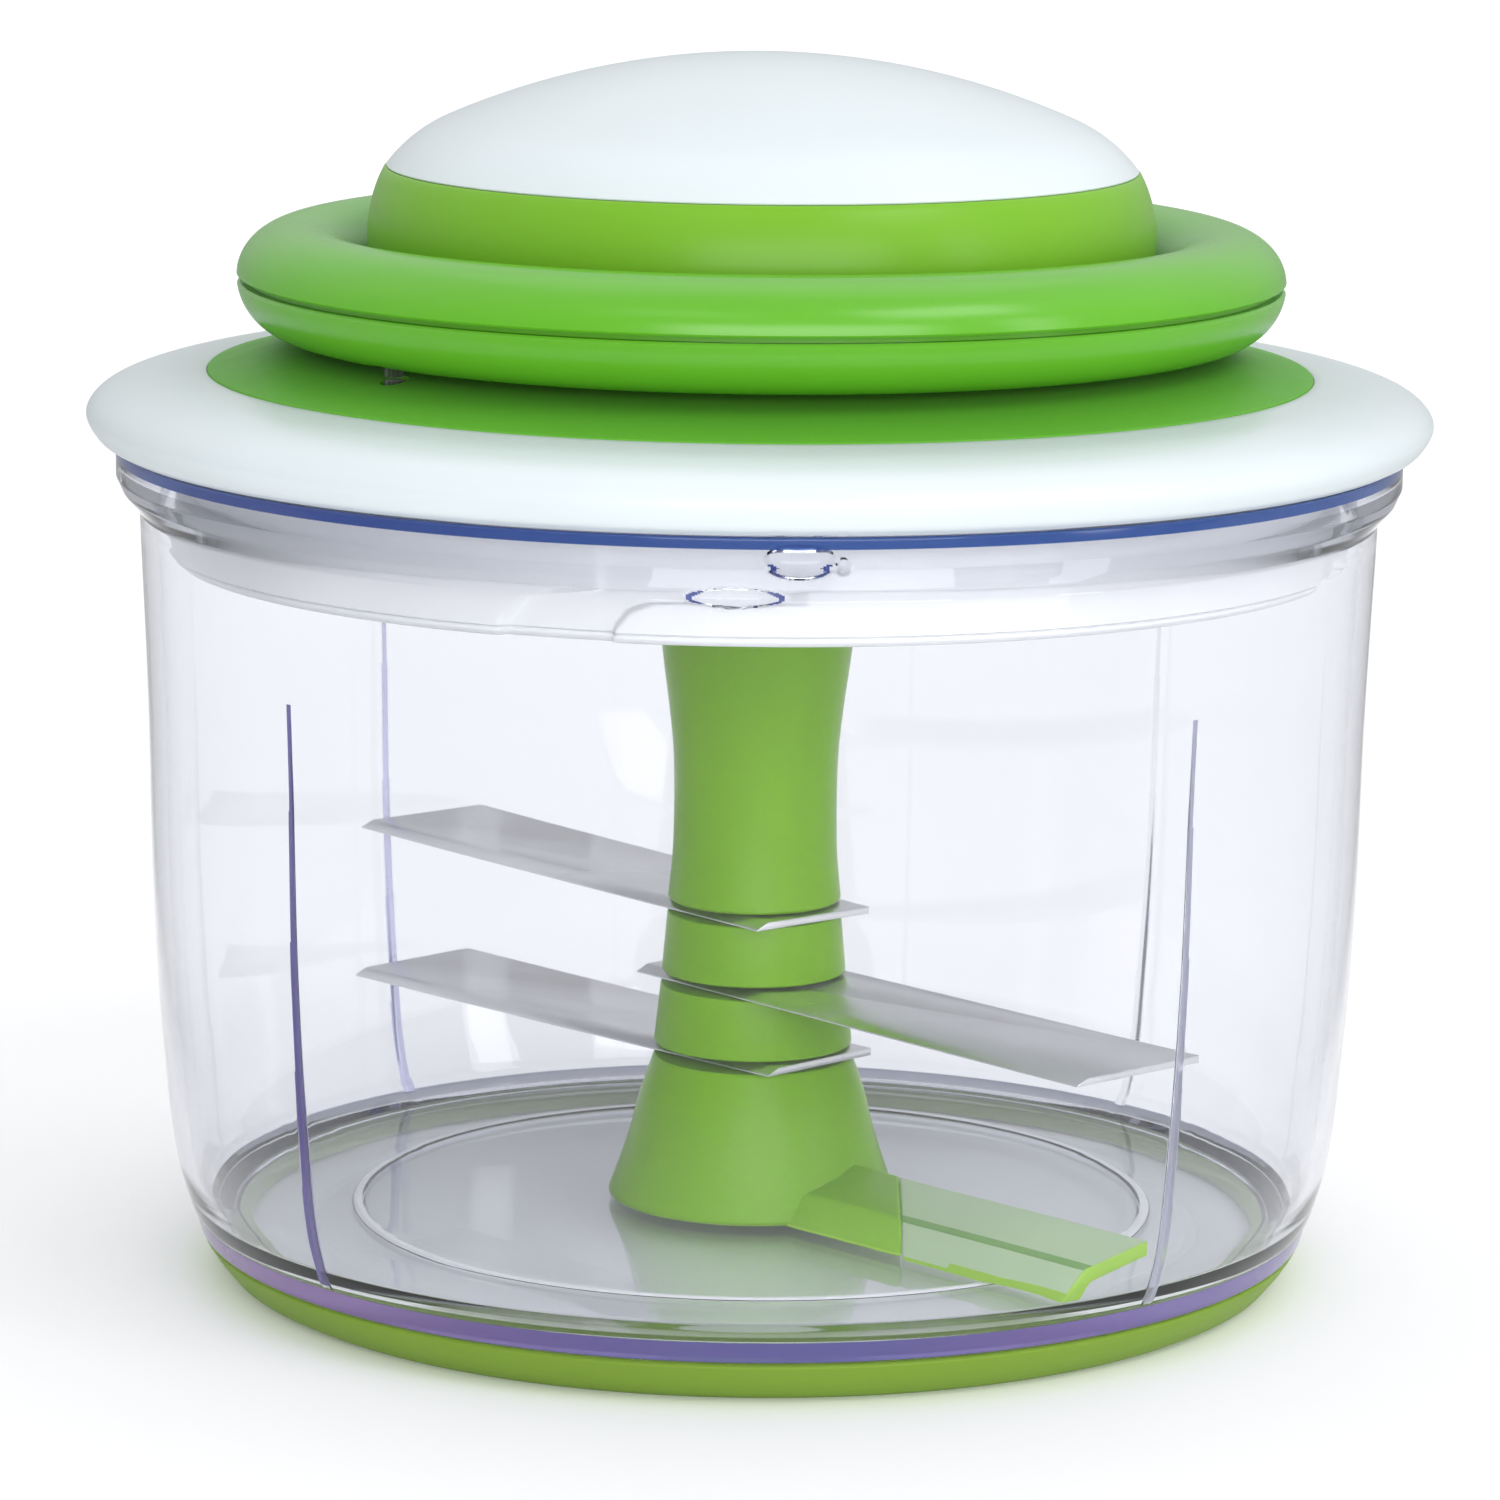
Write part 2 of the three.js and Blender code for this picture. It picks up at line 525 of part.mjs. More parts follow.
// The arm's paddle butts against the root, and its tenon fills the root's slot.
function makeArm() {
  const plan = prism([[15, -12], [53.4, -12], [57, 4], [15, 4]], 0, 30).rotateZ(radians(ARM_AZIMUTH - 90));
  const paddle = cut(common(alongArm(ARM_SECTION, 15, 60), plan), leftOf(ROOT_END + GAP));
  const tenon = common(alongArm(TENON_SECTION, 18, 36), leftOf(ROOT_END + 1));
  add('scraper_arm', join(paddle, tenon), clear(0xb0c9a2, 0.7));
}

function makeBlades() {
  for (const blade of BLADES) {
    const outline = [
      [-blade.inner, -TAIL_HALF_WIDTH], [blade.outer, -BLADE_HALF_WIDTH], [blade.outer, BLADE_HALF_WIDTH],
      [-blade.inner, TAIL_HALF_WIDTH],
    ];
    const bottom = blade.z - BLADE_THICKNESS / 2;
    const strip = prism(outline, bottom, bottom + BLADE_THICKNESS).rotateZ(radians(blade.azimuth - 90));
    // Every blade's hole lines up with the hexagonal core, whichever way the strip points.
    add(blade.name, cut(strip, disc(CORE_RADIUS + GAP, bottom - 1, bottom + 2, 6)), steel(0.25));
  }
}

// ---- fasteners ----

function screw(name, radius, azimuth, headBottom, headTop, headRadius, shankRadius, end) {
  const centre = at(radius, azimuth);
  const geometry = lathe([
    [0, headBottom], [headRadius, headBottom], [headRadius, headTop], [shankRadius, headTop],
    [shankRadius, end - 1], [0, end],
  ], SMALL_SEGMENTS);
  add(name, geometry.translate(centre.x, centre.y, 0), steel());
}

function makeScrews() {
  SKIRT_SCREW_AZIMUTHS.forEach((azimuth, i) => {
    screw(`skirt_screw_${i + 1}`, SKIRT_SCREW_RADIUS, azimuth, 79.3, 80.4, 2.9, 1.4, 91);
  });
  BAND_SCREW_AZIMUTHS.forEach((azimuth, i) => {
    screw(`band_screw_${i + 1}`, BAND_SCREW_RADIUS, azimuth, 93.4, 94.7, 2.3, 1.2, 97);
  });
  HOUSING_SCREW_AZIMUTHS.forEach((azimuth, i) => {
    screw(`housing_screw_${i + 1}`, HOUSING_SCREW_RADIUS, azimuth, 111.5, 112.7, 2.6, 1.3, 122);
  });
}

makeBase();
makeBowl();
makeLidCover();
makeLidInlay();
makeLidSkirt();
makeLidSeal();
makeDome();
makePullRing();
makeAxle();
makeDrum();
makeSpring();
makeDriveCup();
makePawls();
makeCordLead();
makeColumn();
makeArm();
makeBlades();
makeScrews();

export default part;
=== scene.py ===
"""A hand-pulled food chopper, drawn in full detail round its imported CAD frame.

Lengths here are millimetres until a mesh is made. Azimuths are degrees from the front (-Y), growing
towards the right (+X). A profile is a list of (radius, height) or (radius, height, fillet).
"""

import json
import math
from collections import namedtuple

import bmesh
import bpy
import numpy as np
from mathutils import Matrix, Vector


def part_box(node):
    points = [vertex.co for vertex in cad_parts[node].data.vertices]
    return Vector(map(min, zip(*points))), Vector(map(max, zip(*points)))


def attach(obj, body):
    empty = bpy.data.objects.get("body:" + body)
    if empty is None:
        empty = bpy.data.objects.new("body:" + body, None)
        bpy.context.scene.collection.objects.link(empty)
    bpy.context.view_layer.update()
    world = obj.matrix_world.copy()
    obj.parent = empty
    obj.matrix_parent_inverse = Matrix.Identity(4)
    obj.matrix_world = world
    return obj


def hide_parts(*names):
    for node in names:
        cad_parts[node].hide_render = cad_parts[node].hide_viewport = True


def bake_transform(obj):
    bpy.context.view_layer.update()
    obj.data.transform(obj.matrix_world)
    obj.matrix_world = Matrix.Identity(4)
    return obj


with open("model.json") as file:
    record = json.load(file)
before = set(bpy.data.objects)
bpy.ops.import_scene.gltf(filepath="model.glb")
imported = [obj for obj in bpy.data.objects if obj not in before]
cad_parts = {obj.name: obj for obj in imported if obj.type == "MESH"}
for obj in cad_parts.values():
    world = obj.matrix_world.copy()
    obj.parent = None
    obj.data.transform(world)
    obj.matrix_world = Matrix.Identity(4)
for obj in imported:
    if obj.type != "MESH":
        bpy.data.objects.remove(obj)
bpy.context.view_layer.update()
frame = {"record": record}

MM = 0.001
RECORD = frame["record"]
BODY_OF = {node: body for body, nodes in RECORD["behaviour"]["bodies"].items() for node in nodes}
BIG = 240
MIDDLE = 96
SMALL = 48

Span = namedtuple("Span", "radius bottom top x y")


def span(node):
    """The reach of a CAD node, in millimetres: half its width, its lowest and highest point, its middle."""
    low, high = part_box(node)
    x, y = (low.x + high.x) / 2 / MM, (low.y + high.y) / 2 / MM
    return Span((high.y - low.y) / 2 / MM, low.z / MM, high.z / MM, x, y)


GRIP = span("base_grip_ring")
PLATE = span("base_plate")
BOWL = span("bowl")
PIN = span("pivot_pin")
COVER = span("lid_cover")
INLAY = span("lid_inlay")
SKIRT = span("lid_skirt")
SEAL = span("lid_seal")
BAND = span("dome_band")
CAP = span("dome_cap")
COLUMN = span("column_top")
FOOT = span("column_base")
DRUM = span("cord_drum")
WINDING = span("cord_winding")
HOUSING = span("spring_housing")
CUP = span("drive_cup")
BUSH = span("drive_bush")
GUIDE = span("cord_guide")

ARM_AZIMUTH = 44
CORD_AZIMUTH = -49
RIB_AZIMUTHS = (-47, 43, 133, 223)
QUARTERS = (0, 90, 180, 270)
NUB_AZIMUTH = -2
NUB_HEIGHT = 84.9
STOP_AZIMUTH = 3.5
STOP_HEIGHT = 88
RING_CENTRE = 50
RING_HEIGHT = 109
RING_TUBE = 6.4
RING_FLATTEN = 0.875
CORD_HOLE = 1.5
AXIS = (0, 0)
SKIRT_SCREWS = (54, QUARTERS)
BAND_SCREWS = (38, (60, 180, 300))
HOUSING_SCREWS = (24, (0, 120, 240))


# ---- geometry helpers ----


def polar(radius, azimuth, z=0.0):
    a = math.radians(azimuth)
    return Vector((radius * math.sin(a), -radius * math.cos(a), z))


CORD_SPOT = polar(RING_CENTRE, CORD_AZIMUTH)


def softened(profile, steps=5):
    """The profile's points, with an arc at each corner that carries a fillet radius."""
    points = []
    for i, corner in enumerate(profile):
        here = Vector(corner[:2])
        if len(corner) < 3:
            points.append(here)
            continue
        back = Vector(profile[i - 1][:2]) - here
        ahead = Vector(profile[(i + 1) % len(profile)][:2]) - here
        half = back.angle(ahead) / 2
        reach = min(corner[2] / math.tan(half), 0.48 * min(back.length, ahead.length))
        radius = reach * math.tan(half)
        centre = here + (back.normalized() + ahead.normalized()).normalized() * radius / math.sin(half)
        first = here + back.normalized() * reach - centre
        last = here + ahead.normalized() * reach - centre
        sweep = first.angle(last)
        for k in range(steps + 1):
            before, after = math.sin((1 - k / steps) * sweep), math.sin(k / steps * sweep)
            points.append(centre + (first * before + last * after) / math.sin(sweep))
    return points


def arc(centre, radius, start, end, steps):
    """Points on an arc in the profile's plane, from one angle to another in degrees."""
    angles = np.radians(np.linspace(start, end, steps + 1))
    return [Vector((centre[0] + radius * math.cos(a), centre[1] + radius * math.sin(a))) for a in angles]


def curve(points, steps=6):
    """A smooth Catmull-Rom line through the points."""
    points = [Vector(p[:2]) for p in points]
    ends = [2 * points[0] - points[1], *points, 2 * points[-1] - points[-2]]
    line = []
    for a, b, c, d in zip(ends, ends[1:], ends[2:], ends[3:]):
        for k in range(steps):
            t = k / steps
            line.append(0.5 * (2 * b + (c - a) * t + (2 * a - 5 * b + 4 * c - d) * t**2
                               + (3 * b - a - 3 * c + d) * t**3))
    return [*line, points[-1]]


def finely(line, longest):
    """An open line with its long edges split, so that it can carry relief."""
    points = []
    for here, ahead in zip(line, line[1:]):
        here, ahead = Vector(here[:2]), Vector(ahead[:2])
        parts = max(1, math.ceil((ahead - here).length / longest))
        points += [here.lerp(ahead, k / parts) for k in range(parts)]
    return [*points, Vector(line[-1][:2])]


def add_object(name, data):
    made = bpy.data.objects.new(name, data)
    bpy.context.scene.collection.objects.link(made)
    return made


def mesh_of(vertices, faces):
    """A mesh object from points in millimetres, its doubles merged and its normals outwards."""
    mesh = bpy.data.meshes.new("shape")
    mesh.from_pydata([tuple(v) for v in vertices], [], faces)
    bm = bmesh.new()
    bm.from_mesh(mesh)
    bmesh.ops.scale(bm, vec=(MM, MM, MM), verts=bm.verts)
    bmesh.ops.remove_doubles(bm, verts=bm.verts, dist=1e-7)
    bmesh.ops.dissolve_degenerate(bm, edges=bm.edges, dist=1e-8)
    bmesh.ops.recalc_face_normals(bm, faces=bm.faces)
    bm.to_mesh(mesh)
    bm.free()
    return add_object("shape", mesh)


def turned(profile, segments=BIG, azimuths=None, shape=None, centre=AXIS):
    """A closed profile turned about Z. shape(azimuth, radius, height) may add relief, on whole arrays."""
    profile = np.array([tuple(p[:2]) for p in profile])
    if azimuths is None:
        azimuths = np.arange(segments) * 360 / segments
    rows, columns = len(profile), len(azimuths)
    azimuth = np.tile(azimuths, (rows, 1))
    radius = np.repeat(profile[:, :1], columns, axis=1)
    height = np.repeat(profile[:, 1:], columns, axis=1)
    if shape:
        radius, height = shape(azimuth, radius, height)
    angle = np.radians(azimuth)
    x, y = centre[0] + radius * np.sin(angle), centre[1] - radius * np.cos(angle)
    vertices = np.stack([x, y, height], axis=-1).reshape(-1, 3)
    on_axis = profile[0, 0] == 0 and profile[-1, 0] == 0
    i, j = np.meshgrid(np.arange(rows - on_axis), np.arange(columns), indexing="ij")
    i2, j2 = (i + 1) % rows, (j + 1) % columns
    faces = np.stack([i * columns + j, i * columns + j2, i2 * columns + j2, i2 * columns + j], axis=-1)
    return mesh_of(vertices, faces.reshape(-1, 4).tolist())


def prism(outline, bottom, top):
    """An outline of (x, y) points raised between two heights."""
    count = len(outline)
    vertices = [(p[0], p[1], bottom) for p in outline] + [(p[0], p[1], top) for p in outline]
    sides = [(i, (i + 1) % count, count + (i + 1) % count, count + i) for i in range(count)]
    return mesh_of(vertices, [tuple(range(count)), tuple(range(count, 2 * count)), *sides])


def block(left, right, front, back, bottom, top):
    """A box-shaped tool."""
    return prism([(left, front), (right, front), (right, back), (left, back)], bottom, top)


def hexagon_tool(size, bottom, top):
    return prism([polar(size, 60 * k)[:2] for k in range(6)], bottom, top)


def post(centre, size, bottom, top, segments=SMALL):
    """A plain round tool for cutting a hole or adding a boss."""
    outline = [(0, bottom), (size, bottom), (size, top), (0, top)]
    return turned(outline, segments, centre=centre)


def posts(circle, azimuths, size, bottom, top):
    """Plain round tools on a circle about the axis."""
    return [post(polar(circle, azimuth), size, bottom, top) for azimuth in azimuths]


def ways(azimuth):
    """The outward way at an azimuth, and the way to its side."""
    a = math.radians(azimuth)
    return Vector((math.sin(a), -math.cos(a), 0)), Vector((math.cos(a), math.sin(a), 0))


def along_arm(section, stations):
    """A bar along the scraper arm: a section of (sideways, height) swept through stations of
    (distance, sideways slant), so that an end can be cut on the skew."""
    count = len(section)
    forward, side = ways(ARM_AZIMUTH)
    vertices = []
    for distance, slant in stations:
        for n, z in section:
            vertices.append(forward * (distance + slant * n) + side * n + Vector((0, 0, z)))
    faces = [tuple(range(count)), tuple(range(len(vertices) - count, len(vertices)))]
    for k in range(len(stations) - 1):
        for i in range(count):
            i2 = (i + 1) % count
            faces.append((k * count + i, k * count + i2, (k + 1) * count + i2, (k + 1) * count + i))
    return mesh_of(vertices, faces)


def evaluated_mesh(source):
    """The mesh that an object's modifiers or its curve make."""
    bpy.context.view_layer.update()
    graph = bpy.context.evaluated_depsgraph_get()
    return bpy.data.meshes.new_from_object(source.evaluated_get(graph))


def apply_modifiers(piece):
    mesh = evaluated_mesh(piece)
    piece.modifiers.clear()
    piece.data = mesh


def combine(piece, tools, operation):
    """Joins or cuts closed meshes, and removes the tools."""
    for tool in tools:
        modifier = piece.modifiers.new("combine", "BOOLEAN")
        modifier.operation = operation
        modifier.solver = "EXACT"
        modifier.object = tool
    apply_modifiers(piece)
    for tool in tools:
        bpy.data.objects.remove(tool)
    return piece


def cut(piece, tools):
    return combine(piece, tools, "DIFFERENCE")


def join(piece, tools):
    return combine(piece, tools, "UNION")


def bevelled(piece, width, segments=3, angle=30):
    modifier = piece.modifiers.new("bevel", "BEVEL")
    modifier.width = width * MM
    modifier.segments = segments
    modifier.limit_method = "ANGLE"
    modifier.angle_limit = math.radians(angle)
    modifier.harden_normals = False
    apply_modifiers(piece)
    return piece


def finish_piece(piece, node, material, sharp=38, others=(), role=None):
    """Gives a finished mesh its material and smooth shading, and lets it stand for a CAD node.
    role(middle of a face, in millimetres) says which material the face takes: 0, or one of the others."""
    mesh = piece.data
    mesh.materials.clear()
    for one in (material, *others):
        mesh.materials.append(one)
    for face in mesh.polygons:
        face.material_index = int(role(face.center / MM)) if role else 0
    mesh.shade_smooth()
    mesh.set_sharp_from_angle(angle=math.radians(sharp))
    piece.name = node + "_look"
    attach(piece, BODY_OF[node])
    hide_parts(node)


def turned_piece(node, material, profile, segments=BIG, centre=AXIS):
    """A piece that is one softened profile turned about Z."""
    finish_piece(turned(softened(profile), segments, centre=centre), node, material)


# ---- materials ----


def plug(tree, socket, value):
    """Sets an input, or links it where the value is another node's output."""
    if isinstance(value, bpy.types.NodeSocket):
        tree.links.new(value, socket)
    else:
        socket.default_value = value


def feed(tree, node, **inputs):
    """Sets or links a node's inputs by name, with an underscore for each space."""
    for name, value in inputs.items():
        plug(tree, node.inputs[name.replace("_", " ")], value)


def add_node(tree, kind, **inputs):
    node = tree.nodes.new("ShaderNode" + kind)
    feed(tree, node, **inputs)
    return node


def new_material(name, **inputs):
    material = bpy.data.materials.new(name)
    material.use_nodes = True
    tree = material.node_tree
    tree.nodes.clear()
    shader = add_node(tree, "BsdfPrincipled", **inputs)
    output = add_node(tree, "OutputMaterial", Surface=shader.outputs[0])
    return material, tree, shader, output


def texture(tree, kind, scale, stretch=(1, 1, 1), turn=0.0, **inputs):
    """A texture on the piece's own coordinates, in metres, turned about Z by an angle in radians."""
    place = add_node(tree, "TexCoord")
    mapping = add_node(tree, "Mapping", Vector=place.outputs["Object"], Rotation=(0, 0, turn), Scale=stretch)
    return add_node(tree, kind, Vector=mapping.outputs["Vector"], Scale=scale, **inputs).outputs["Fac"]


def noise(tree, scale, detail, stretch=(1, 1, 1), turn=0.0):
    return texture(tree, "TexNoise", scale, stretch, turn, Detail=detail)


def ranged(tree, value, low, high, start=0.0, end=1.0):
    """A value between start and end, mapped to a range from low to high."""
    return add_node(
        tree, "MapRange", Value=value, From_Min=start, From_Max=end, To_Min=low, To_Max=high,
    ).outputs["Result"]


def blended(tree, factor, dark, light):
    ramp = add_node(tree, "ValToRGB", Fac=factor)
    for stop, position, colour in zip(ramp.color_ramp.elements, (0.3, 0.7), (dark, light)):
        stop.position = position
        stop.color = (*colour, 1)
    return ramp.outputs["Color"]


def bumped(tree, height, strength, distance, **under):
    """A normal with fine relief on it, over the relief that is already there."""
    node = add_node(tree, "Bump", Height=height, Strength=strength, Distance=distance, **under)
    return node.outputs["Normal"]


def tinted(colour, factor):
    return tuple(min(1.0, c * factor) for c in colour)


def mix_surface(tree, output, factor, first, second):
    """Makes a material's surface a mix of two shaders."""
    mix = add_node(tree, "MixShader", Fac=factor)
    tree.links.new(first.outputs[0], mix.inputs[1])
    tree.links.new(second.outputs[0], mix.inputs[2])
    feed(tree, output, Surface=mix.outputs[0])


def moulded(name, colour, roughness=0.32, grain=0.25, glow=0.0, glow_radius=(1, 1, 1), shine=0.5):
    """Moulded plastic: slow colour drift, fine spark-eroded grain and faint handling marks."""
    material, tree, shader, _ = new_material(name, IOR=1.5, Specular_IOR_Level=shine)
    marks = noise(tree, 260, 6, (1, 1, 4))
    wave = bumped(tree, noise(tree, 45, 1), 0.06, 0.0006)
    feed(
        tree, shader,
        Base_Color=blended(tree, noise(tree, 18, 3), tinted(colour, 0.95), tinted(colour, 1.04)),
        Roughness=ranged(tree, marks, roughness * 0.85, roughness * 1.2),
        Normal=bumped(tree, noise(tree, 3200, 2), grain, 0.00002, Normal=wave),
    )
    if glow:
        feed(tree, shader, Subsurface_Weight=glow, Subsurface_Radius=glow_radius, Subsurface_Scale=0.0016)
    return material


def soft_touch(name, colour):
    """Rubbery skin: matt, finely pebbled, with a weak velvet sheen."""
    material = moulded(name, colour, roughness=0.5, grain=0.6, shine=0.2)
    shader = material.node_tree.nodes["Principled BSDF"]
    feed(material.node_tree, shader, Sheen_Weight=0.02, Sheen_Roughness=0.4)
    return material


def let_lamps_through(tree, shader, output, share):
    """Lets a share of each lamp's light reach what is behind clear plastic."""
    path = add_node(tree, "LightPath")
    clear = add_node(tree, "BsdfTransparent", Color=(*share, 1))
    mix_surface(tree, output, path.outputs["Is Shadow Ray"], shader, clear)


def clear_plastic(name, absorbed, roughness, tint, ior, share):
    """Clear moulding. absorbed is what each colour loses per metre of travel inside it."""
    material, tree, shader, output = new_material(
        name, Base_Color=(*tint, 1), Transmission_Weight=1, IOR=ior,
    )
    feed(tree, shader, Roughness=ranged(tree, noise(tree, 140, 5), roughness * 0.5, roughness * 1.5))
    density = max(absorbed)
    passed = [1 - a / density for a in absorbed]
    inside = add_node(tree, "VolumeAbsorption", Density=density, Color=(*passed, 1))
    feed(tree, output, Volume=inside.outputs[0])
    let_lamps_through(tree, shader, output, share)
    return material


def arm_plastic(name, colour, clearness):
    """Cloudy green plastic that lets some light through."""
    material, tree, shader, output = new_material(name, Transmission_Weight=clearness, IOR=1.45)
    cloud = noise(tree, 60, 3, (1, 1, 2))
    feed(
        tree, shader, Roughness=ranged(tree, cloud, 0.3, 0.4),
        Base_Color=blended(tree, cloud, tinted(colour, 0.97), tinted(colour, 1.03)),
    )
    let_lamps_through(tree, shader, output, (0.7, 0.85, 0.5))
    return material


def painted_edge_colour(name, violet, blue, clearness, within, depth=1.0):
    """Colour painted on chosen faces of the clear plastic, drifting between two colours. From inside the
    plastic the same face shows a colour of its own."""
    material, tree, shader, output = new_material(
        name, Roughness=0.12, Transmission_Weight=clearness, IOR=1.5,
    )
    feed(tree, shader, Base_Color=blended(tree, noise(tree, 14, 1, (1, 0.4, 0.2)), violet, blue))
    behind = add_node(
        tree, "BsdfPrincipled", Base_Color=(*within, 1), Transmission_Weight=depth, Roughness=0.05, IOR=1.5,
    )
    side = add_node(tree, "NewGeometry")
    mix_surface(tree, output, side.outputs["Backfacing"], shader, behind)
    return material


def brushed_metal(name, colour, roughness, along):
    """Metal with fine scratches along one way."""
    material, tree, shader, _ = new_material(name, Metallic=1)
    lines = noise(tree, 900, 6, (0.02, 1, 1), math.pi / 2 - math.radians(along))
    feed(
        tree, shader,
        Base_Color=blended(tree, noise(tree, 60, 4), tinted(colour, 0.93), colour),
        Roughness=ranged(tree, lines, roughness * 0.7, roughness * 1.5),
        Normal=bumped(tree, lines, 0.35, 0.00001),
    )
    return material


def braid(name, colour):
    """Braided cord: wavy bands of strands, with a weak sheen."""
    material, tree, shader, _ = new_material(name, Roughness=0.8, Sheen_Weight=0.3)
    strands = texture(tree, "TexWave", 700, Distortion=1.2, Detail=2)
    feed(
        tree, shader,
        Base_Color=blended(tree, strands, tinted(colour, 0.7), colour),
        Normal=bumped(tree, strands, 0.7, 0.0002),
    )
    return material


WHITE = moulded("white_plastic", (0.68, 0.74, 0.76), 0.3)
# The skirt's white is painted lighter than the lid's white: painted light in the shade under the lid.
WHITE_PAINTED_LIGHTER = moulded("white_plastic_painted_lighter", (0.90, 0.91, 0.91), 0.36)
GREEN = moulded("green_plastic", (0.12, 0.42, 0.02), 0.24, glow=0.12, glow_radius=(0.7, 1.0, 0.25))
BAND_GREEN = moulded("green_plastic_band", (0.185, 0.44, 0.025), 0.3, 0.25, 0.12, (0.7, 1.0, 0.25), 0.25)
INLAY_GREEN = soft_touch("green_inlay", (0.115, 0.40, 0.03))
COLUMN_GREEN = moulded("green_column", (0.17, 0.39, 0.005), 0.3, 0.25, 0.2, (0.8, 1.0, 0.25), 0.2)
# A lighter copy of the column's green, painted on the arm's root, which is part of the same moulding: painted
# light.
ROOT_GREEN_PAINTED_LIGHTER = moulded("green_root_painted_lighter", (0.21, 0.46, 0.010), 0.34, 0.25, 0.2, (0.8, 1.0, 0.25), 0.2)
GRIP_GREEN = soft_touch("green_grip", (0.20, 0.33, 0.035))
PALE_GREY = moulded("pale_plate", (0.94, 0.96, 0.92), 0.45)
CLEAR = clear_plastic("clear_plastic", (27, 25, 16), 0.02, (0.985, 0.985, 0.995), 1.5, (0.98, 0.98, 0.99))
UNTINTED = (0.97, 0.97, 0.99)
FOOT_TINT = painted_edge_colour("clear_plastic_foot", (0.24, 0.13, 0.34), (0.12, 0.11, 0.34), 0.25, UNTINTED)
# The dark blue line on the rim's edge and round the nub ends is painted refraction: it stands in for the
# thick plastic bending light.
RIM_PAINTED_LENS_LINE = painted_edge_colour(
    "clear_plastic_rim_painted_lens_line", (0.035, 0.06, 0.24), (0.025, 0.07, 0.26), 0.2, (0.08, 0.11, 0.40), 0.3,
)
RIB_TINT = painted_edge_colour(
    "clear_plastic_rib", (0.55, 0.50, 0.78), (0.50, 0.52, 0.78), 0.5, (0.20, 0.16, 0.42), 0.3,
)
# The right ribs are painted paler than the left ones: painted light on the side the key lamp lights.
PALE_RIB_PAINTED_LIGHT = painted_edge_colour("clear_plastic_pale_rib_painted_light", (0.82, 0.82, 0.88), (0.8, 0.8, 0.88), 0.8, (0.68, 0.68, 0.76), 0.5)
# A thin white line on the ridge in the bowl's floor: a painted highlight.
FLOOR_LINE_PAINTED_HIGHLIGHT = painted_edge_colour("clear_plastic_painted_highlight_line", (0.90, 0.90, 0.94), (0.92, 0.92, 0.95), 0.2, UNTINTED)
# The arm's pale green is partly its own translucent green and partly painted reflection of the white
# surroundings on its glossy top.
ARM_PALE_WITH_PAINTED_REFLECTION = arm_plastic("translucent_green", (0.55, 0.71, 0.45), 0.22)
# Bright yellow-green painted on edges of the green plastic: painted light shining through thin edges and
# falling on lit edges.
ARM_EDGE_PAINTED_LIGHT = arm_plastic("translucent_green_edge_painted_light", (0.36, 0.66, 0.03), 0.2)
# A darker copy of the arm's green, painted in the crease between the facets: painted shade.
ARM_CREASE_PAINTED_SHADE = arm_plastic("translucent_green_crease_painted_shade", (0.20, 0.42, 0.10), 0.2)
STEEL = brushed_metal("steel", (0.62, 0.62, 0.63), 0.28, 0)
NYLON = moulded("nylon", (0.7, 0.71, 0.67), 0.5)
BRONZE = brushed_metal("bronze", (0.62, 0.42, 0.2), 0.35, 0)
SILICONE = moulded("silicone", (0.78, 0.8, 0.8), 0.6, grain=0.1, glow=0.5)
CORD = braid("cord", (0.042, 0.068, 0.034))


# ---- base ----


def make_base():
    outer, top = GRIP.radius, GRIP.top
    turned_piece("base_grip_ring", GRIP_GREEN, [
        (53.8, 0, 0.2), (56.2, 0, 0.5), (57.8, 0.8), (59.3, 2.6), (outer, top - 0.3, 0.5),
        (outer - 0.3, top, 0.3), (55.4, top, 0.2), (55.4, 3.5), (57.6, 3.5), (57.6, 1.2), (53.8, 1.2, 0.2),
    ])
    low, high = PLATE.bottom, PLATE.top
    turned_piece("base_plate", PALE_GREY, [
        (0, low), (PLATE.radius, low, 0.3), (PLATE.radius, high, 0.3), (50, high), (49.4, high - 0.3, 0.3),
        (48, high - 0.3, 0.3), (47.4, high), (0, high),
    ])


# ---- bowl ----


def crowd(azimuths, half_width, step):
    """Extra azimuths on both sides of each one given."""
    near = np.arange(-half_width, half_width + step / 2, step)
    return [azimuth + offset for azimuth in azimuths for offset in near]


def turn_from(azimuth, centre):
    """How far an azimuth is from the nearest of four repeats of a centre, in degrees."""
    return (azimuth - centre + 45) % 90 - 45


def rib_relief(azimuth, radius, height):
    """How far the four ribs stand in from the wall: a thin wedge that fades out upwards."""
    rise = np.interp(height, [7.2, 8.4, 13, 25, 45, 71], [0, 0.4, 0.55, 0.5, 0.3, 0.0])
    width = np.interp(height, [8, 25, 71], [1.2, 0.9, 0.3])
    across = np.abs(np.radians(turn_from(azimuth, RIB_AZIMUTHS[1]))) * radius
    edge = np.clip((width / 2 - across) / 0.45 + 0.5, 0, 1)
    return rise * edge * edge * (3 - 2 * edge)


def nub_relief(azimuth, radius, height):
    """The bayonet lenses and, above them, the stop nubs that hang from the rim."""
    across = np.radians(turn_from(azimuth, NUB_AZIMUTH)) * radius
    bulge = 1 - (across / 4.9) ** 2 - ((height - NUB_HEIGHT) / 1.5) ** 2
    lens = 1.0 * np.clip(bulge, 0, 1) ** 0.5
    across = np.radians(turn_from(azimuth, STOP_AZIMUTH)) * radius
    bulge = 1 - (across / 3.5) ** 2 - ((height - STOP_HEIGHT - 0.5) / 1.6) ** 2
    stop = 0.9 * np.clip(bulge, 0, 1) ** 0.5 * np.clip((90.2 - height) / 1.2, 0, 1)
    bead = 1 - ((across - 4.2) ** 2 + (height - STOP_HEIGHT) ** 2) / 0.7**2
    gate = 0.45 * np.clip(bead, 0, 1) ** 0.7
    return np.maximum(np.maximum(lens, stop), gate)


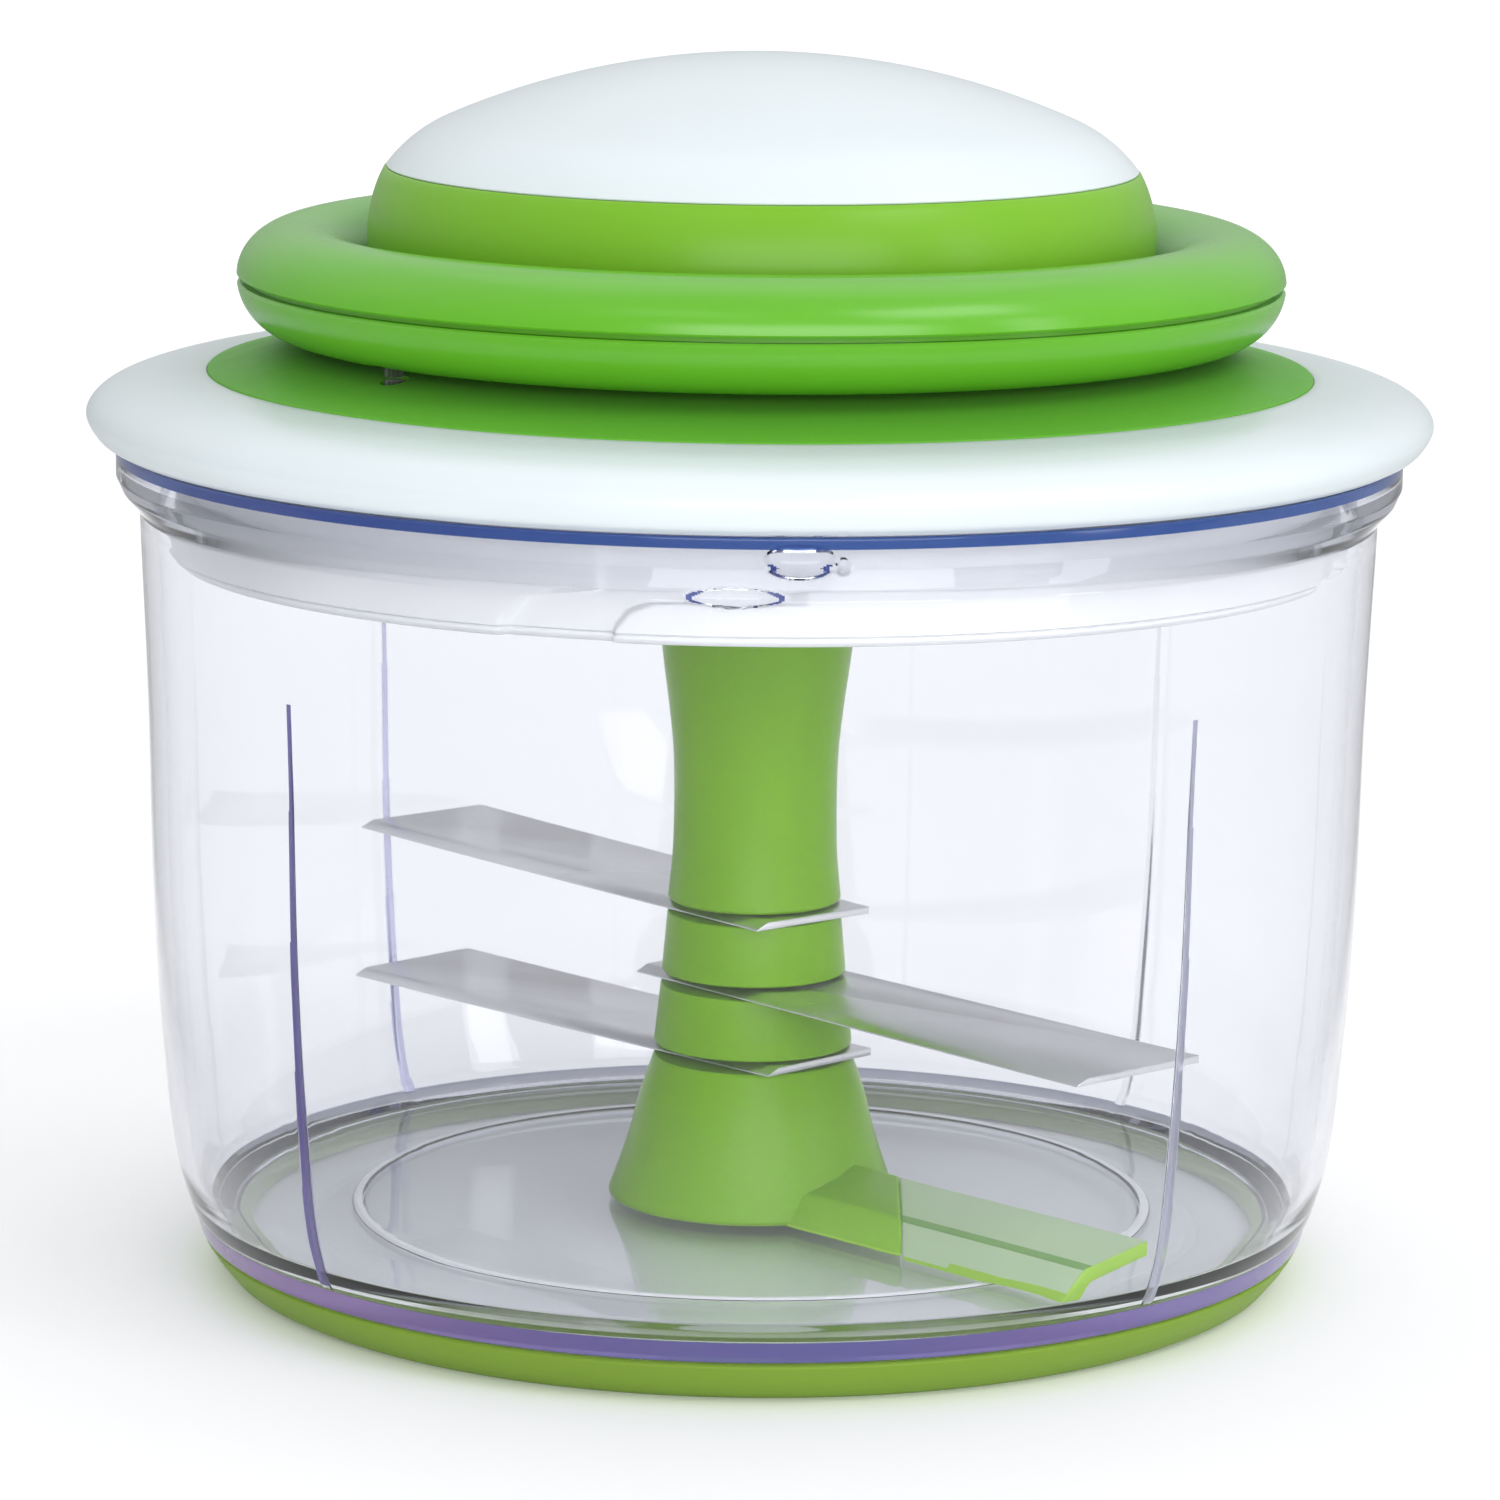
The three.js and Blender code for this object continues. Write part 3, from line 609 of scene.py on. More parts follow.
def bowl_role(middle):
    """Which material a face of the bowl takes: 1 on the foot band, 2 on the rim's edge and the ends of the
    nubs, painted dark blue as painted refraction, 3 on the left ribs, 4 on the line in the floor, a painted
    highlight, 5 on the right ribs, painted paler as lit."""
    radius = math.hypot(middle.x, middle.y)
    azimuth = math.degrees(math.atan2(middle.x, -middle.y))
    if radius > 60.4 and BOWL.bottom + 0.1 < middle.z < 7.2:
        return 1
    if radius > 68.5 and middle.z > BOWL.top - 1.2:
        return 2
    if 42.9 < radius < 43.8 and 6.7 < middle.z < 7.3:
        return 4
    if radius < 57.5 or radius > wall_radius(middle.z) - 1:
        return 0
    across = abs(math.radians(turn_from(azimuth, RIB_AZIMUTHS[1]))) * radius
    if 8.2 < middle.z < 70 and across < np.interp(middle.z, [8, 25, 70], [0.8, 0.65, 0.3]):
        return 5 if 0 < azimuth < 180 else 3
    across = math.radians(turn_from(azimuth, NUB_AZIMUTH)) * radius / 4.9
    reach = across**2 + ((middle.z - NUB_HEIGHT) / 1.5) ** 2
    if 0.74 < reach < 1.0 and abs(across) > 0.62:
        return 2
    across = math.radians(turn_from(azimuth, STOP_AZIMUTH)) * radius / 3.5
    reach = across**2 + ((middle.z - STOP_HEIGHT - 0.5) / 1.6) ** 2
    return 2 if 0.74 < reach < 1.0 and middle.z < STOP_HEIGHT and abs(across) > 0.4 else 0


WALL_HEIGHTS = (7.2, 12, 25, 40.7, 62.8, 83.6)
WALL_RADII = (61.6, 63.0, 64.6, 65.6, 66.1, 66.9)
WALL_THICKNESS = 1.85


def wall_radius(height):
    """The outer radius of the bowl's wall, as one smooth line through its measured radii."""
    slopes = np.gradient(WALL_RADII, WALL_HEIGHTS)
    k = int(np.clip(np.searchsorted(WALL_HEIGHTS, height) - 1, 0, len(WALL_HEIGHTS) - 2))
    low, high = WALL_HEIGHTS[k], WALL_HEIGHTS[k + 1]
    t, step = (height - low) / (high - low), high - low
    start = WALL_RADII[k] * (1 + 2 * t) * (1 - t) ** 2 + slopes[k] * step * t * (1 - t) ** 2
    end = WALL_RADII[k + 1] * (3 - 2 * t) * t**2 + slopes[k + 1] * step * (t - 1) * t**2
    return start + end


def make_bowl():
    low, top, rim = BOWL.bottom, BOWL.top, BOWL.radius
    rising = [(wall_radius(z), z) for z in np.arange(8.0, 83.3, 1.25)]
    outside = softened([
        (0, 5.2), (56.6, 5.2, 0.2), (57.2, low, 0.2), (60.7, low, 0.3), (61.3, 7.2, 0.3), *rising,
        (66.95, 84.2, 1.2), (68.8, 86.3, 1.5), (rim, 87.8, 1.0), (rim, top - 1.2), (rim, top, 0.3),
        (68.5, top), (65.4, top, 0.4), (65.39, top - 0.5),
    ], steps=7)
    falling = [(wall_radius(z) - WALL_THICKNESS, z) for z in np.arange(82.0, 11.4, -1.25)]
    inside = finely([(65.4, top - 0.6), (falling[0][0], 82.4)], 0.18)
    wall = softened([
        *falling, (60.3, 9.4, 1.5), (59.1, 7.7, 1.2), (57.0, 6.85, 1), (44.0, 6.85, 0.3), (43.6, 7.15, 0.3),
        (43.0, 7.15, 0.3), (42.6, 7.0, 0.3), (5.5, 7.0, 0.4), (4.4, 9.6, 0.3), (2.3, 9.6, 0.2), (2.3, 6.4),
        (0, 6.4),
    ], steps=6)
    profile = [*outside[:-1], *inside, *finely(wall, 1.5)]
    inner_from = len(outside) - 1

    def relief(azimuth, radius, height):
        added = rib_relief(azimuth, radius, height) + nub_relief(azimuth, radius, height)
        added[:inner_from] = 0
        added[radius < 57] = 0
        return radius - added, height

    azimuths = set(np.round(np.arange(0, 360, 1.0), 3))
    azimuths |= {round(a % 360, 3) for a in crowd(RIB_AZIMUTHS, 1.2, 0.1)}
    azimuths |= {round((NUB_AZIMUTH + q + a) % 360, 3) for q in QUARTERS for a in np.arange(-5, 10.6, 0.25)}
    wall = turned(profile, azimuths=sorted(azimuths), shape=relief)
    tints_and_painted_light = (FOOT_TINT, RIM_PAINTED_LENS_LINE, RIB_TINT, FLOOR_LINE_PAINTED_HIGHLIGHT, PALE_RIB_PAINTED_LIGHT)
    finish_piece(wall, "bowl", CLEAR, 50, tints_and_painted_light, bowl_role)
    low, high = PIN.bottom, PIN.top
    pin = [(0, low), (2.0, low, 0.2), (2.0, high - 1, 0.4), (1.2, high, 0.3), (0, high)]
    turned_piece("pivot_pin", STEEL, pin, SMALL)


# ---- lid ----


def make_cover():
    under, edge = COVER.bottom, COVER.radius
    top = COVER.top
    crown = curve([(69.9, 91.3), (71.5, 92.3), (edge, 94.6), (70.5, 96.8), (66, 98.2), (59.9, top)], 8)
    low = BOWL.top + 0.3
    profile = softened([
        (34, 95), (64.2, 95), (64.2, low), (65.4, low, 0.2), (65.4, 92.9), (68.9, 92.9), (68.9, low, 0.2),
        *crown, (59.65, top - 0.1), (59.65, 97), (34, 97),
    ])
    cover = turned(profile)
    join(cover, posts(*SKIRT_SCREWS, 3.4, under, 95.5))
    holes = posts(*SKIRT_SCREWS, 1.75, under - 1, 91.5) + posts(*BAND_SCREWS, 1.5, 94, 98)
    holes.append(post(CORD_SPOT, 3.0, 94, 98))
    finish_piece(cut(cover, holes), "lid_cover", WHITE)
    low, high, edge = INLAY.bottom, INLAY.top, INLAY.radius
    edge += 0.3
    profile = softened([(46.7, low), (edge, low), (edge, top + 0.1, 0.35), (46.7, high, 0.2)])
    inlay = turned(profile)
    hole = post(CORD_SPOT, CORD_HOLE, low - 1, high + 1)
    finish_piece(cut(inlay, [hole]), "lid_inlay", INLAY_GREEN)
    low, high = SEAL.bottom, SEAL.top
    turned_piece("lid_seal", SILICONE, [
        (66.1, low, 0.3), (66.8, low, 0.2), (67.2, low + 0.35, 0.2), (67.6, low, 0.2), (68.3, low, 0.3),
        (68.3, high, 0.3), (66.1, high, 0.3),
    ])


SLOT_LEFT = [(-24.4, 78.6), (-23.4, 81.2), (-21.6, 83.6), (-18.6, 85.6), (-14.5, 86.5)]
SLOT_RIGHT = [(-13.4, 78.6), (-12.9, 80.6), (-11.6, 82.4), (-9.4, 83.5), (-6.5, 83.75)]
GROOVE_END = 4.0
RECESS_DEPTH = 1.1


def recess_relief(azimuth, radius, height):
    """How deep the bayonet recess is at each point of the skirt: an entry slot that sweeps to the
    right and a level groove that ends past the nub. Its sides slope, as moulded ones do."""
    turn = turn_from(azimuth, -20) - 20
    left = np.interp(height, [p[1] for p in SLOT_LEFT], [p[0] for p in SLOT_LEFT])
    right = np.interp(height, [p[1] for p in SLOT_RIGHT], [p[0] for p in SLOT_RIGHT])
    right = np.where(height > SLOT_RIGHT[-1][1], GROOVE_END, right)
    floor = np.interp(turn, [p[0] for p in SLOT_RIGHT], [p[1] for p in SLOT_RIGHT])
    to_mm = radius * math.pi / 180
    inside_left = (turn - left) * to_mm * 0.8
    inside_low = np.where(turn > SLOT_RIGHT[0][0], height - floor, 9.0)
    beside = np.maximum(inside_low, (right - turn) * to_mm * 0.8)
    inside_low = np.where(turn < SLOT_RIGHT[-1][0], beside, inside_low)
    inside_end = (GROOVE_END - turn) * to_mm * 0.4
    inside = np.minimum(np.minimum(inside_left, inside_low), inside_end)
    slope = np.clip(inside / 0.9 + 0.35, 0, 1)
    return RECESS_DEPTH * slope * slope * (3 - 2 * slope)


def make_skirt():
    low, high, edge = SKIRT.bottom, SKIRT.top, SKIRT.radius
    ledge, floor = 86.5, 82.1
    bottom = softened([
        (8.3, floor), (8.3, low, 0.3), (40, low), (60.8, low), (62.6, low, 0.6), (edge, low + 0.9, 0.6),
    ])
    side = finely([(edge, low + 1.2), (edge, ledge - 0.5)], 0.22)[:-1]
    top = softened([
        (edge, ledge - 0.5), (edge - 0.15, ledge - 0.1, 0.2), (edge - 0.5, ledge, 0.2), (62.0, ledge),
        (62.0, high, 0.3), (60.2, high, 0.3), (60.2, floor),
    ])
    profile = [*bottom[1:], *side, *top, bottom[0]]

    def relief(azimuth, radius, height):
        depth = recess_relief(azimuth, np.maximum(radius, 1), height)
        weight = np.clip((radius - 61.2) / 1.4, 0, 1) * (height < ledge + 0.05)
        return radius - depth * weight, height

    azimuths = set(np.round(np.arange(0, 360, 1.5), 3))
    azimuths |= {round((q + a) % 360, 3) for q in QUARTERS for a in np.arange(-26, 7, 0.25)}
    skirt = turned(profile, azimuths=sorted(azimuths), shape=relief)
    holes = posts(*SKIRT_SCREWS, 3.3, low - 1, 80.7) + posts(*SKIRT_SCREWS, 1.8, 80, floor + 1)
    # The skirt takes the lighter painted white: painted light in the lid's shade.
    finish_piece(cut(skirt, holes), "lid_skirt", WHITE_PAINTED_LIGHTER)


# ---- dome ----


BAND_CENTRE = (27.4, 113.46)
BAND_RADIUS = 15.0
SHOULDER_CENTRE = (27.77, 111.33)
SHOULDER_RADIUS = 15.76
CROWN_RADIUS = 85.0
CROWN_EDGE = 66.36


def side_of(centre, size, height):
    """The radius of an arc of the dome's outline at a height."""
    return centre[0] + math.sqrt(size**2 - (height - centre[1])**2)


def make_dome():
    split = BAND.top
    low = BAND.bottom
    side = [(side_of(BAND_CENTRE, BAND_RADIUS, z), z) for z in np.linspace(112.5, split - 0.12, 12)]
    turned_piece("dome_band", BAND_GREEN, [
        (35.6, low), (46.3, low), (46.3, 102.2, 0.5), (45.4, 103.8, 0.8), (42.9, 104.8, 1.0), (42.2, 107, 2),
        *side, (side_of(BAND_CENTRE, BAND_RADIUS, split) - 0.1, split), (39.6, split, 0.1), (39.6, 117.2),
        (40.2, 106), (40.0, 99.4), (35.6, 99.4),
    ])
    seam = split + 0.05
    start = math.degrees(math.asin((seam + 0.15 - SHOULDER_CENTRE[1]) / SHOULDER_RADIUS))
    rise = arc(SHOULDER_CENTRE, SHOULDER_RADIUS, start, CROWN_EDGE, 14)
    crown = arc((0, CAP.top - CROWN_RADIUS), CROWN_RADIUS, CROWN_EDGE, 90, 28)
    crown[-1] = Vector((0, CAP.top))
    profile = softened([
        (37.2, 117.6), (39.2, 117.6, 0.2), (39.2, seam), (rise[0].x - 0.1, seam), *rise[:-1], *crown,
        (0, 130.6), (13, 129.6, 20), (24.4, 126.9, 10), (33, 123.1, 5), (37.2, 120, 1),
    ])
    cap = turned(profile)
    socket = post(AXIS, 5.5, 118.2, 131.4, MIDDLE)
    join(cap, [socket, *posts(*HOUSING_SCREWS, 3.2, 115.2, 128)])
    bores = [post(AXIS, 2.8, 117, 126), *posts(*HOUSING_SCREWS, 1.6, 115, 123)]
    finish_piece(cut(cap, bores), "dome_cap", WHITE)


# ---- pull ring ----


def make_ring():
    centre, wall = (RING_CENTRE, RING_HEIGHT), 1.8
    inner = RING_TUBE - wall
    seam = 0.6
    lip = 0.3
    tongue = RING_TUBE - 1.1
    outer_start = math.degrees(lip / RING_TUBE)
    outside = arc(centre, RING_TUBE, outer_start, 180 - outer_start, 64)
    inside = arc(centre, inner, 170, 10, 30)
    upper = [Vector((p.x, RING_HEIGHT + (p.y - RING_HEIGHT) * RING_FLATTEN)) for p in [*outside, *inside]]
    reach = RING_HEIGHT - seam + 0.03
    left = [
        (RING_CENTRE - RING_TUBE + lip, RING_HEIGHT), (RING_CENTRE - tongue, RING_HEIGHT),
        (RING_CENTRE - tongue, reach), (RING_CENTRE - inner, reach),
    ]
    right = [(2 * RING_CENTRE - x, z) for x, z in reversed(left)]
    count = len(outside)
    upper = [*upper[:count], *left, *upper[count:], *right]
    turned_piece("ring_upper_shell", GREEN, upper)
    drop = seam + lip
    outer_start = math.degrees(math.asin(drop / RING_TUBE))
    inner_start = math.degrees(math.asin(seam / inner))
    edge = RING_TUBE * math.cos(math.radians(outer_start)) - lip
    lower = [
        *arc(centre, RING_TUBE, 180 + outer_start, 360 - outer_start, 64),
        (RING_CENTRE + edge, RING_HEIGHT - seam),
        *arc(centre, inner, 360 - inner_start, 180 + inner_start, 30),
        (RING_CENTRE - edge, RING_HEIGHT - seam),
    ]
    shell = turned(softened(lower))
    mouth = softened([
        (0, 100), (3.1, 100), (3.1, 102.4), (2.0, 103.5, 0.6), (1.5, 104.2), (1.5, 106), (0, 106),
    ])
    hole = turned(mouth, SMALL, centre=CORD_SPOT)
    finish_piece(cut(shell, [hole]), "ring_lower_shell", GREEN)
    knot = softened([
        (0, 104.7), (1.6, 104.9, 0.5), (2.2, 106.2, 0.8), (2.1, 107.6, 0.8), (1.2, 109.0, 0.6), (0, 109.1),
    ])

    def twist(azimuth, radius, height):
        return radius * (1 + 0.08 * np.sin(np.radians(azimuth * 3 + height * 90))), height

    knot = turned(knot, SMALL, shape=twist, centre=CORD_SPOT)
    finish_piece(knot, "cord_knot", CORD)


def make_riser():
    """The cord between the lid's guide and the ring, as a straight round rod."""
    low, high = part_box("cord_riser")
    rows = np.linspace(low.z / MM, high.z / MM, 15)
    profile = [(0, rows[0]), *[(1.0, z) for z in rows], (0, rows[-1])]
    riser = turned(profile, 24, centre=CORD_SPOT)
    riser.data.materials.append(CORD)
    riser.data.shade_smooth()
    riser.name = "cord_riser_look"
    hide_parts("cord_riser")
    start, end = CORD_SPOT * MM, CORD_SPOT * MM
    start.z, end.z = low.z - 0.0005, high.z
    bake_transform(riser)


# ---- drive ----


def make_drive():
    low = DRUM.bottom
    bore = 2.85
    turned_piece("cord_drum", NYLON, [
        (bore, low, 0.2), (DRUM.radius, low, 0.3), (DRUM.radius, 89.2, 0.3), (15, 89.2, 0.3), (15, 94.0, 0.2),
        (7.4, 94.0, 0.3), (7.4, DRUM.top, 0.3), (bore, DRUM.top, 0.2),
    ], MIDDLE)
    flange = span("drum_flange")
    turned_piece("drum_flange", NYLON, [
        (7.7, flange.bottom), (flange.radius, flange.bottom, 0.4), (flange.radius, flange.top, 0.4),
        (7.7, flange.top, 0.2),
    ], MIDDLE)
    turns = 4
    pitch = (WINDING.top - WINDING.bottom) / turns
    coils = []
    for k in range(turns):
        coils += arc((18.2 - pitch / 2, WINDING.bottom + (k + 0.5) * pitch), pitch / 2 - 0.01, -80, 80, 8)
    winding = [(15.3, WINDING.bottom + 0.1), *coils, (15.3, WINDING.top - 0.1)]
    finish_piece(turned(winding, MIDDLE), "cord_winding", CORD)
    axle = span("centre_axle")
    profile = [(0, axle.bottom), (2.5, axle.bottom, 0.4), (2.5, axle.top, 0.4), (0, axle.top)]
    turned_piece("centre_axle", STEEL, profile, SMALL)
    clip = span("axle_clip")
    profile = [(2.8, clip.bottom), (5, clip.bottom, 0.2), (5, clip.top, 0.2), (2.8, clip.top)]
    turned_piece("axle_clip", STEEL, profile, SMALL)
    turned_piece("drive_bush", BRONZE, [
        (5.5, BUSH.bottom, 0.2), (8, BUSH.bottom, 0.3), (8, 82.4), (BUSH.radius, 82.4, 0.2),
        (BUSH.radius, BUSH.top, 0.2), (5.5, BUSH.top, 0.2),
    ], MIDDLE)
    turned_piece("cord_guide", STEEL, [
        (1.5, GUIDE.bottom, 0.2), (2.6, GUIDE.bottom, 0.2), (2.6, GUIDE.top, 0.35), (1.5, GUIDE.top, 0.35),
    ], SMALL, (GUIDE.x, GUIDE.y))


def make_spring():
    low, high = HOUSING.bottom, HOUSING.top
    profile = softened([
        (4.5, 113), (31.4, 113, 0.6), (31.4, low, 0.2), (33, low, 0.2), (33, high, 1.2), (4.5, high, 0.2),
    ])
    housing = turned(profile, MIDDLE)
    holes = posts(*HOUSING_SCREWS, 1.6, 112, 116)
    finish_piece(cut(housing, holes), "spring_housing", NYLON)
    spring = span("return_spring")
    turns, per_turn, inner, outer, strip = 5, 72, 8.1, 30.6, 0.5
    count = turns * per_turn
    edges = []
    for side in (strip, 0):
        edge = []
        for i in range(count + 1):
            a = 2 * math.pi * i / per_turn
            r = inner + (outer - inner) * i / count + side
            edge.append((r * math.cos(a), r * math.sin(a)))
        edges.append(edge)
    outline = edges[0] + edges[1][::-1]
    coil = prism(outline, spring.bottom, spring.top)
    finish_piece(coil, "return_spring", STEEL)


def make_ratchet():
    teeth, root, crest, first = 12, 26.9, 25.0, 36
    inside = []
    for i in range(teeth):
        face = first + 360 * i / teeth
        span_to_next = 360 / teeth
        for k in range(9):
            share = k / 8
            a = math.radians(face + 0.4 + (span_to_next - 0.8) * share)
            r = crest + (root - crest) * share
            inside.append((r * math.cos(a), r * math.sin(a)))
    wall = post(AXIS, CUP.radius, 84.2, CUP.top, MIDDLE)
    hollow = prism(inside, 84.4, CUP.top + 1)
    disc = softened([(0, 83.4), (CUP.radius, 83.4, 0.5), (CUP.radius, 84.4), (0, 84.4)])
    floor = turned(disc, MIDDLE)
    journal = post(AXIS, 5.1, 78.9, 83.5, MIDDLE)
    shaft = bevelled(hexagon_tool(4.4, CUP.bottom, 79.0), 0.3)
    cup = cut(wall, [hollow])
    finish_piece(join(cup, [floor, journal, shaft]), "drive_cup", NYLON)
    for index, turn in enumerate((0, 180)):
        make_pawl(index + 1, turn)


def make_pawl(number, turn):
    pin, tip_radius, tip_angle = 14, 25.6, math.radians(34)
    tip = Vector((tip_radius * math.cos(tip_angle), tip_radius * math.sin(tip_angle)))
    arm = tip - Vector((pin, 0))
    length, lean = arm.length, math.atan2(arm.y, arm.x)
    outline = softened([
        (-2.4, -1.4, 1), (-1.0, -2.6, 1), (0.8, -2.6, 1), (length - 0.8, -1.2, 0.4), (length, 0.2, 0.15),
        (length - 1.8, 1.1, 0.6), (0.8, 2.6, 1), (-1.0, 2.6, 1), (-2.4, 1.4, 1),
    ])
    placed = []
    for p in outline:
        x = pin + p.x * math.cos(lean) - p.y * math.sin(lean)
        y = p.x * math.sin(lean) + p.y * math.cos(lean)
        a = math.radians(turn)
        placed.append((x * math.cos(a) - y * math.sin(a), x * math.sin(a) + y * math.cos(a)))
    pawl = prism(placed, 84.8, 87.2)
    side = 1 if turn == 0 else -1
    cut(pawl, [post((side * pin, 0), 1.6, 84, 88)])
    finish_piece(bevelled(pawl, 0.15, 2), f"pawl_{number}", STEEL)
    rod = span(f"pawl_pin_{number}")
    profile = [(0, rod.bottom), (1.25, rod.bottom, 0.25), (1.25, rod.top, 0.1), (0, rod.top)]
    turned_piece(f"pawl_pin_{number}", STEEL, profile, SMALL, (side * pin, 0))


def make_cord_lead():
    """The cord's fixed run: off the drum at a tangent, level to the guide, then up through it."""
    level, lift_off = 91.6, 19.6
    guide = polar(RING_CENTRE, CORD_AZIMUTH, level)
    angle = math.atan2(guide.y, guide.x) - math.acos(lift_off / RING_CENTRE)
    start = Vector((lift_off * math.cos(angle), lift_off * math.sin(angle), level))
    along = (guide - start).normalized()
    route = [start, *[guide - along * back for back in (24, 12, 6, 3.6)]]
    route.append(guide - along * 1.1 + Vector((0, 0, 0.9)))
    route.append(guide - along * 0.1 + Vector((0, 0, 3.4)))
    route += [Vector((guide.x, guide.y, z)) for z in (96, 101.4)]
    line = bpy.data.curves.new("lead", "CURVE")
    line.dimensions = "3D"
    line.bevel_depth = 1.0 * MM
    line.bevel_resolution = 6
    line.use_fill_caps = True
    line.resolution_u = 12
    spline = line.splines.new("NURBS")
    spline.points.add(len(route) - 1)
    for point, place in zip(spline.points, route):
        point.co = (*(place * MM), 1)
    spline.use_endpoint_u = True
    spline.order_u = 3
    lead = add_object("lead", line)
    mesh = evaluated_mesh(lead)
    bpy.data.objects.remove(lead)
    finish_piece(add_object("lead", mesh), "cord_lead", CORD)


# ---- blade column ----


BLADES = {
    "blade_upper": (40.0, -140.5, -10.1, 61.9),
    "blade_middle": (32.0, 42.0, -10.5, 58.8),
    "blade_lower": (24.0, -135.6, -10.5, 57.3),
}
BLADE_HALF_WIDTH = 8.8
TAIL_HALF_WIDTH = 7.9
BLADE_THICKNESS = 0.8
CORE = 4.3
ROOT_END = 16.0


def make_column():
    half = BLADE_THICKNESS / 2 + 0.3
    upper, middle, lower = (BLADES[name][0] for name in ("blade_upper", "blade_middle", "blade_lower"))
    flank = curve([
        (9.45, upper + half + 0.3), (8.95, 47), (8.95, 56), (9.5, 62), (10.3, 68), (11.5, COLUMN.top - 0.4),
    ])
    profile = [(0, upper + half), (9.2, upper + half), *flank, (11.3, COLUMN.top), (0, COLUMN.top)]
    column = turned(profile)
    tools = [hexagon_tool(4.7, 63.6, COLUMN.top + 1), hexagon_tool(CORE, upper - 1, 54.3)]
    finish_piece(cut(column, tools), "column_top", COLUMN_GREEN)
    for node, bottom, top, wide, narrow in (
        ("column_spacer_upper", middle + half, upper - half, 10.1, 9.5),
        ("column_spacer_lower", lower + half, middle - half, 10.9, 10.2),
    ):
        profile = softened([(0, bottom), (wide, bottom, 0.25), (narrow, top, 0.25), (0, top)])
        spacer = cut(turned(profile), [hexagon_tool(CORE, bottom - 1, top + 1)])
        finish_piece(spacer, node, COLUMN_GREEN)
    make_foot(lower - half)
    finish_piece(bevelled(hexagon_tool(4.0, 21.2, 54), 0.3), "column_core", STEEL)


def make_foot(top):
    low = FOOT.bottom
    flank = curve([(15.75, 8.1), (14.5, 11.5), (13.4, 15), (12.5, 18.6), (11.5, 21.6), (11.0, top - 0.25)], 6)
    profile = [(0, low), (14.9, low), (15.4, low + 0.08), (15.7, low + 0.3), *flank, (10.8, top), (0, top)]
    foot = turned(profile)
    root = along_arm([(-7.9, low), (2.5, low), (2.5, 12.95), (-5.3, 10.85)], [(0, 0), (40, 0)])
    beyond = block(ROOT_END, 80, -60, 60, 0, 30)
    root = bevelled(cut(root, [beyond]), 0.4)
    join(foot, [root])
    slot = along_arm([(-4.8, 9.5), (2.2, 11.55), (2.2, 12.45), (-4.8, 10.45)], [(17.6, 0), (40, 0)])
    bore, boss = post(AXIS, 2.4, 5, 19.6), post(AXIS, 5.9, 5, 10.1, MIDDLE)
    tools = [slot, bore, boss, hexagon_tool(CORE, 20.9, top + 1)]

    def foot_role(middle):
        """1 on the foot's lowest edge, where the plastic is thin, painted bright as light shining through; 2
        on the root of the arm, painted lighter as lit; else 0.
        """
        if middle.z < low + 0.4 and middle.xy.length > 14.6:
            return 1
        return 2 if middle.z < 12.95 and middle.xy.length > 15.8 else 0

    foot = cut(foot, tools)
    finish_piece(foot, "column_base", COLUMN_GREEN, 45, (ARM_EDGE_PAINTED_LIGHT, ROOT_GREEN_PAINTED_LIGHTER), foot_role)


def make_arm():
    section = [
        (-8, 7.4), (-5.8, 7.4), (-4.5, 9.1), (2.3, 11.3), (2.3, 12.8), (-4.2, 10.98), (-5.2, 10.7),
        (-7.3, 8.22), (-7.7, 7.75),
    ]
    skew = 3.6 / 16
    end = 53.4 + 12 * skew
    stations = [(15, 0), *[(15 + 38 * k / 8, skew * k / 8) for k in range(1, 8)], (end, skew)]
    left_end = ROOT_END + 0.1
    spare = block(left_end - 40, left_end, -60, 60, 0, 30)
    arm = cut(along_arm(section, stations), [spare])
    arm = bevelled(arm, 0.3)
    tenon = along_arm([(-4.6, 9.7), (2.0, 11.7), (2.0, 12.25), (-4.6, 10.25)], [(18, 0), (36, 0)])
    spare = block(ROOT_END + 1, 70, -60, 60, 0, 30)
    join(arm, [cut(tenon, [spare])])
    forward, side = (way.xy for way in ways(ARM_AZIMUTH))

    def role(middle):
        """0 on the facets, pale with painted reflection; 1 on the edges, painted bright as lit; 2 on the
        crease between the facets, painted darker as shade.
        """
        here = middle.xy
        along, across = here.dot(forward), here.dot(side)
        lit = 8.25 if along > 38 else 7.8
        if along > end + skew * across - 0.65 or (across < -7 and middle.z < lit):
            return 1
        return 2 if -5.6 < across < -4.15 and middle.z > 10.2 else 0

    finish_piece(arm, "scraper_arm", ARM_PALE_WITH_PAINTED_REFLECTION, 38, (ARM_EDGE_PAINTED_LIGHT, ARM_CREASE_PAINTED_SHADE), role)


def make_blades():
    for node, (z, azimuth, inner, outer) in BLADES.items():
        forward, side = ways(azimuth)
        half, wide = BLADE_THICKNESS / 2, BLADE_HALF_WIDTH
        ground = 1.7
        section = [(-wide, -half), (wide, -half), (wide, half), (-wide + ground, half), (-wide, -half + 0.15)]
        if node != "blade_middle":
            section = [(-n, h) for n, h in section]
        count = len(section)
        ends = ((inner, TAIL_HALF_WIDTH / BLADE_HALF_WIDTH), (outer, 1.0))
        vertices = [
            forward * s + side * n * share + Vector((0, 0, z + h)) for s, share in ends for n, h in section
        ]
        faces = [tuple(range(count)), tuple(range(count, 2 * count))]
        faces += [(i, (i + 1) % count, count + (i + 1) % count, count + i) for i in range(count)]
        blade = cut(mesh_of(vertices, faces), [hexagon_tool(CORE, z - 1, z + 1)])
        metal = brushed_metal("steel_" + node, (0.80, 0.80, 0.81), 0.3, azimuth)
        finish_piece(bevelled(blade, 0.06, 2), node, metal)


# ---- fasteners ----


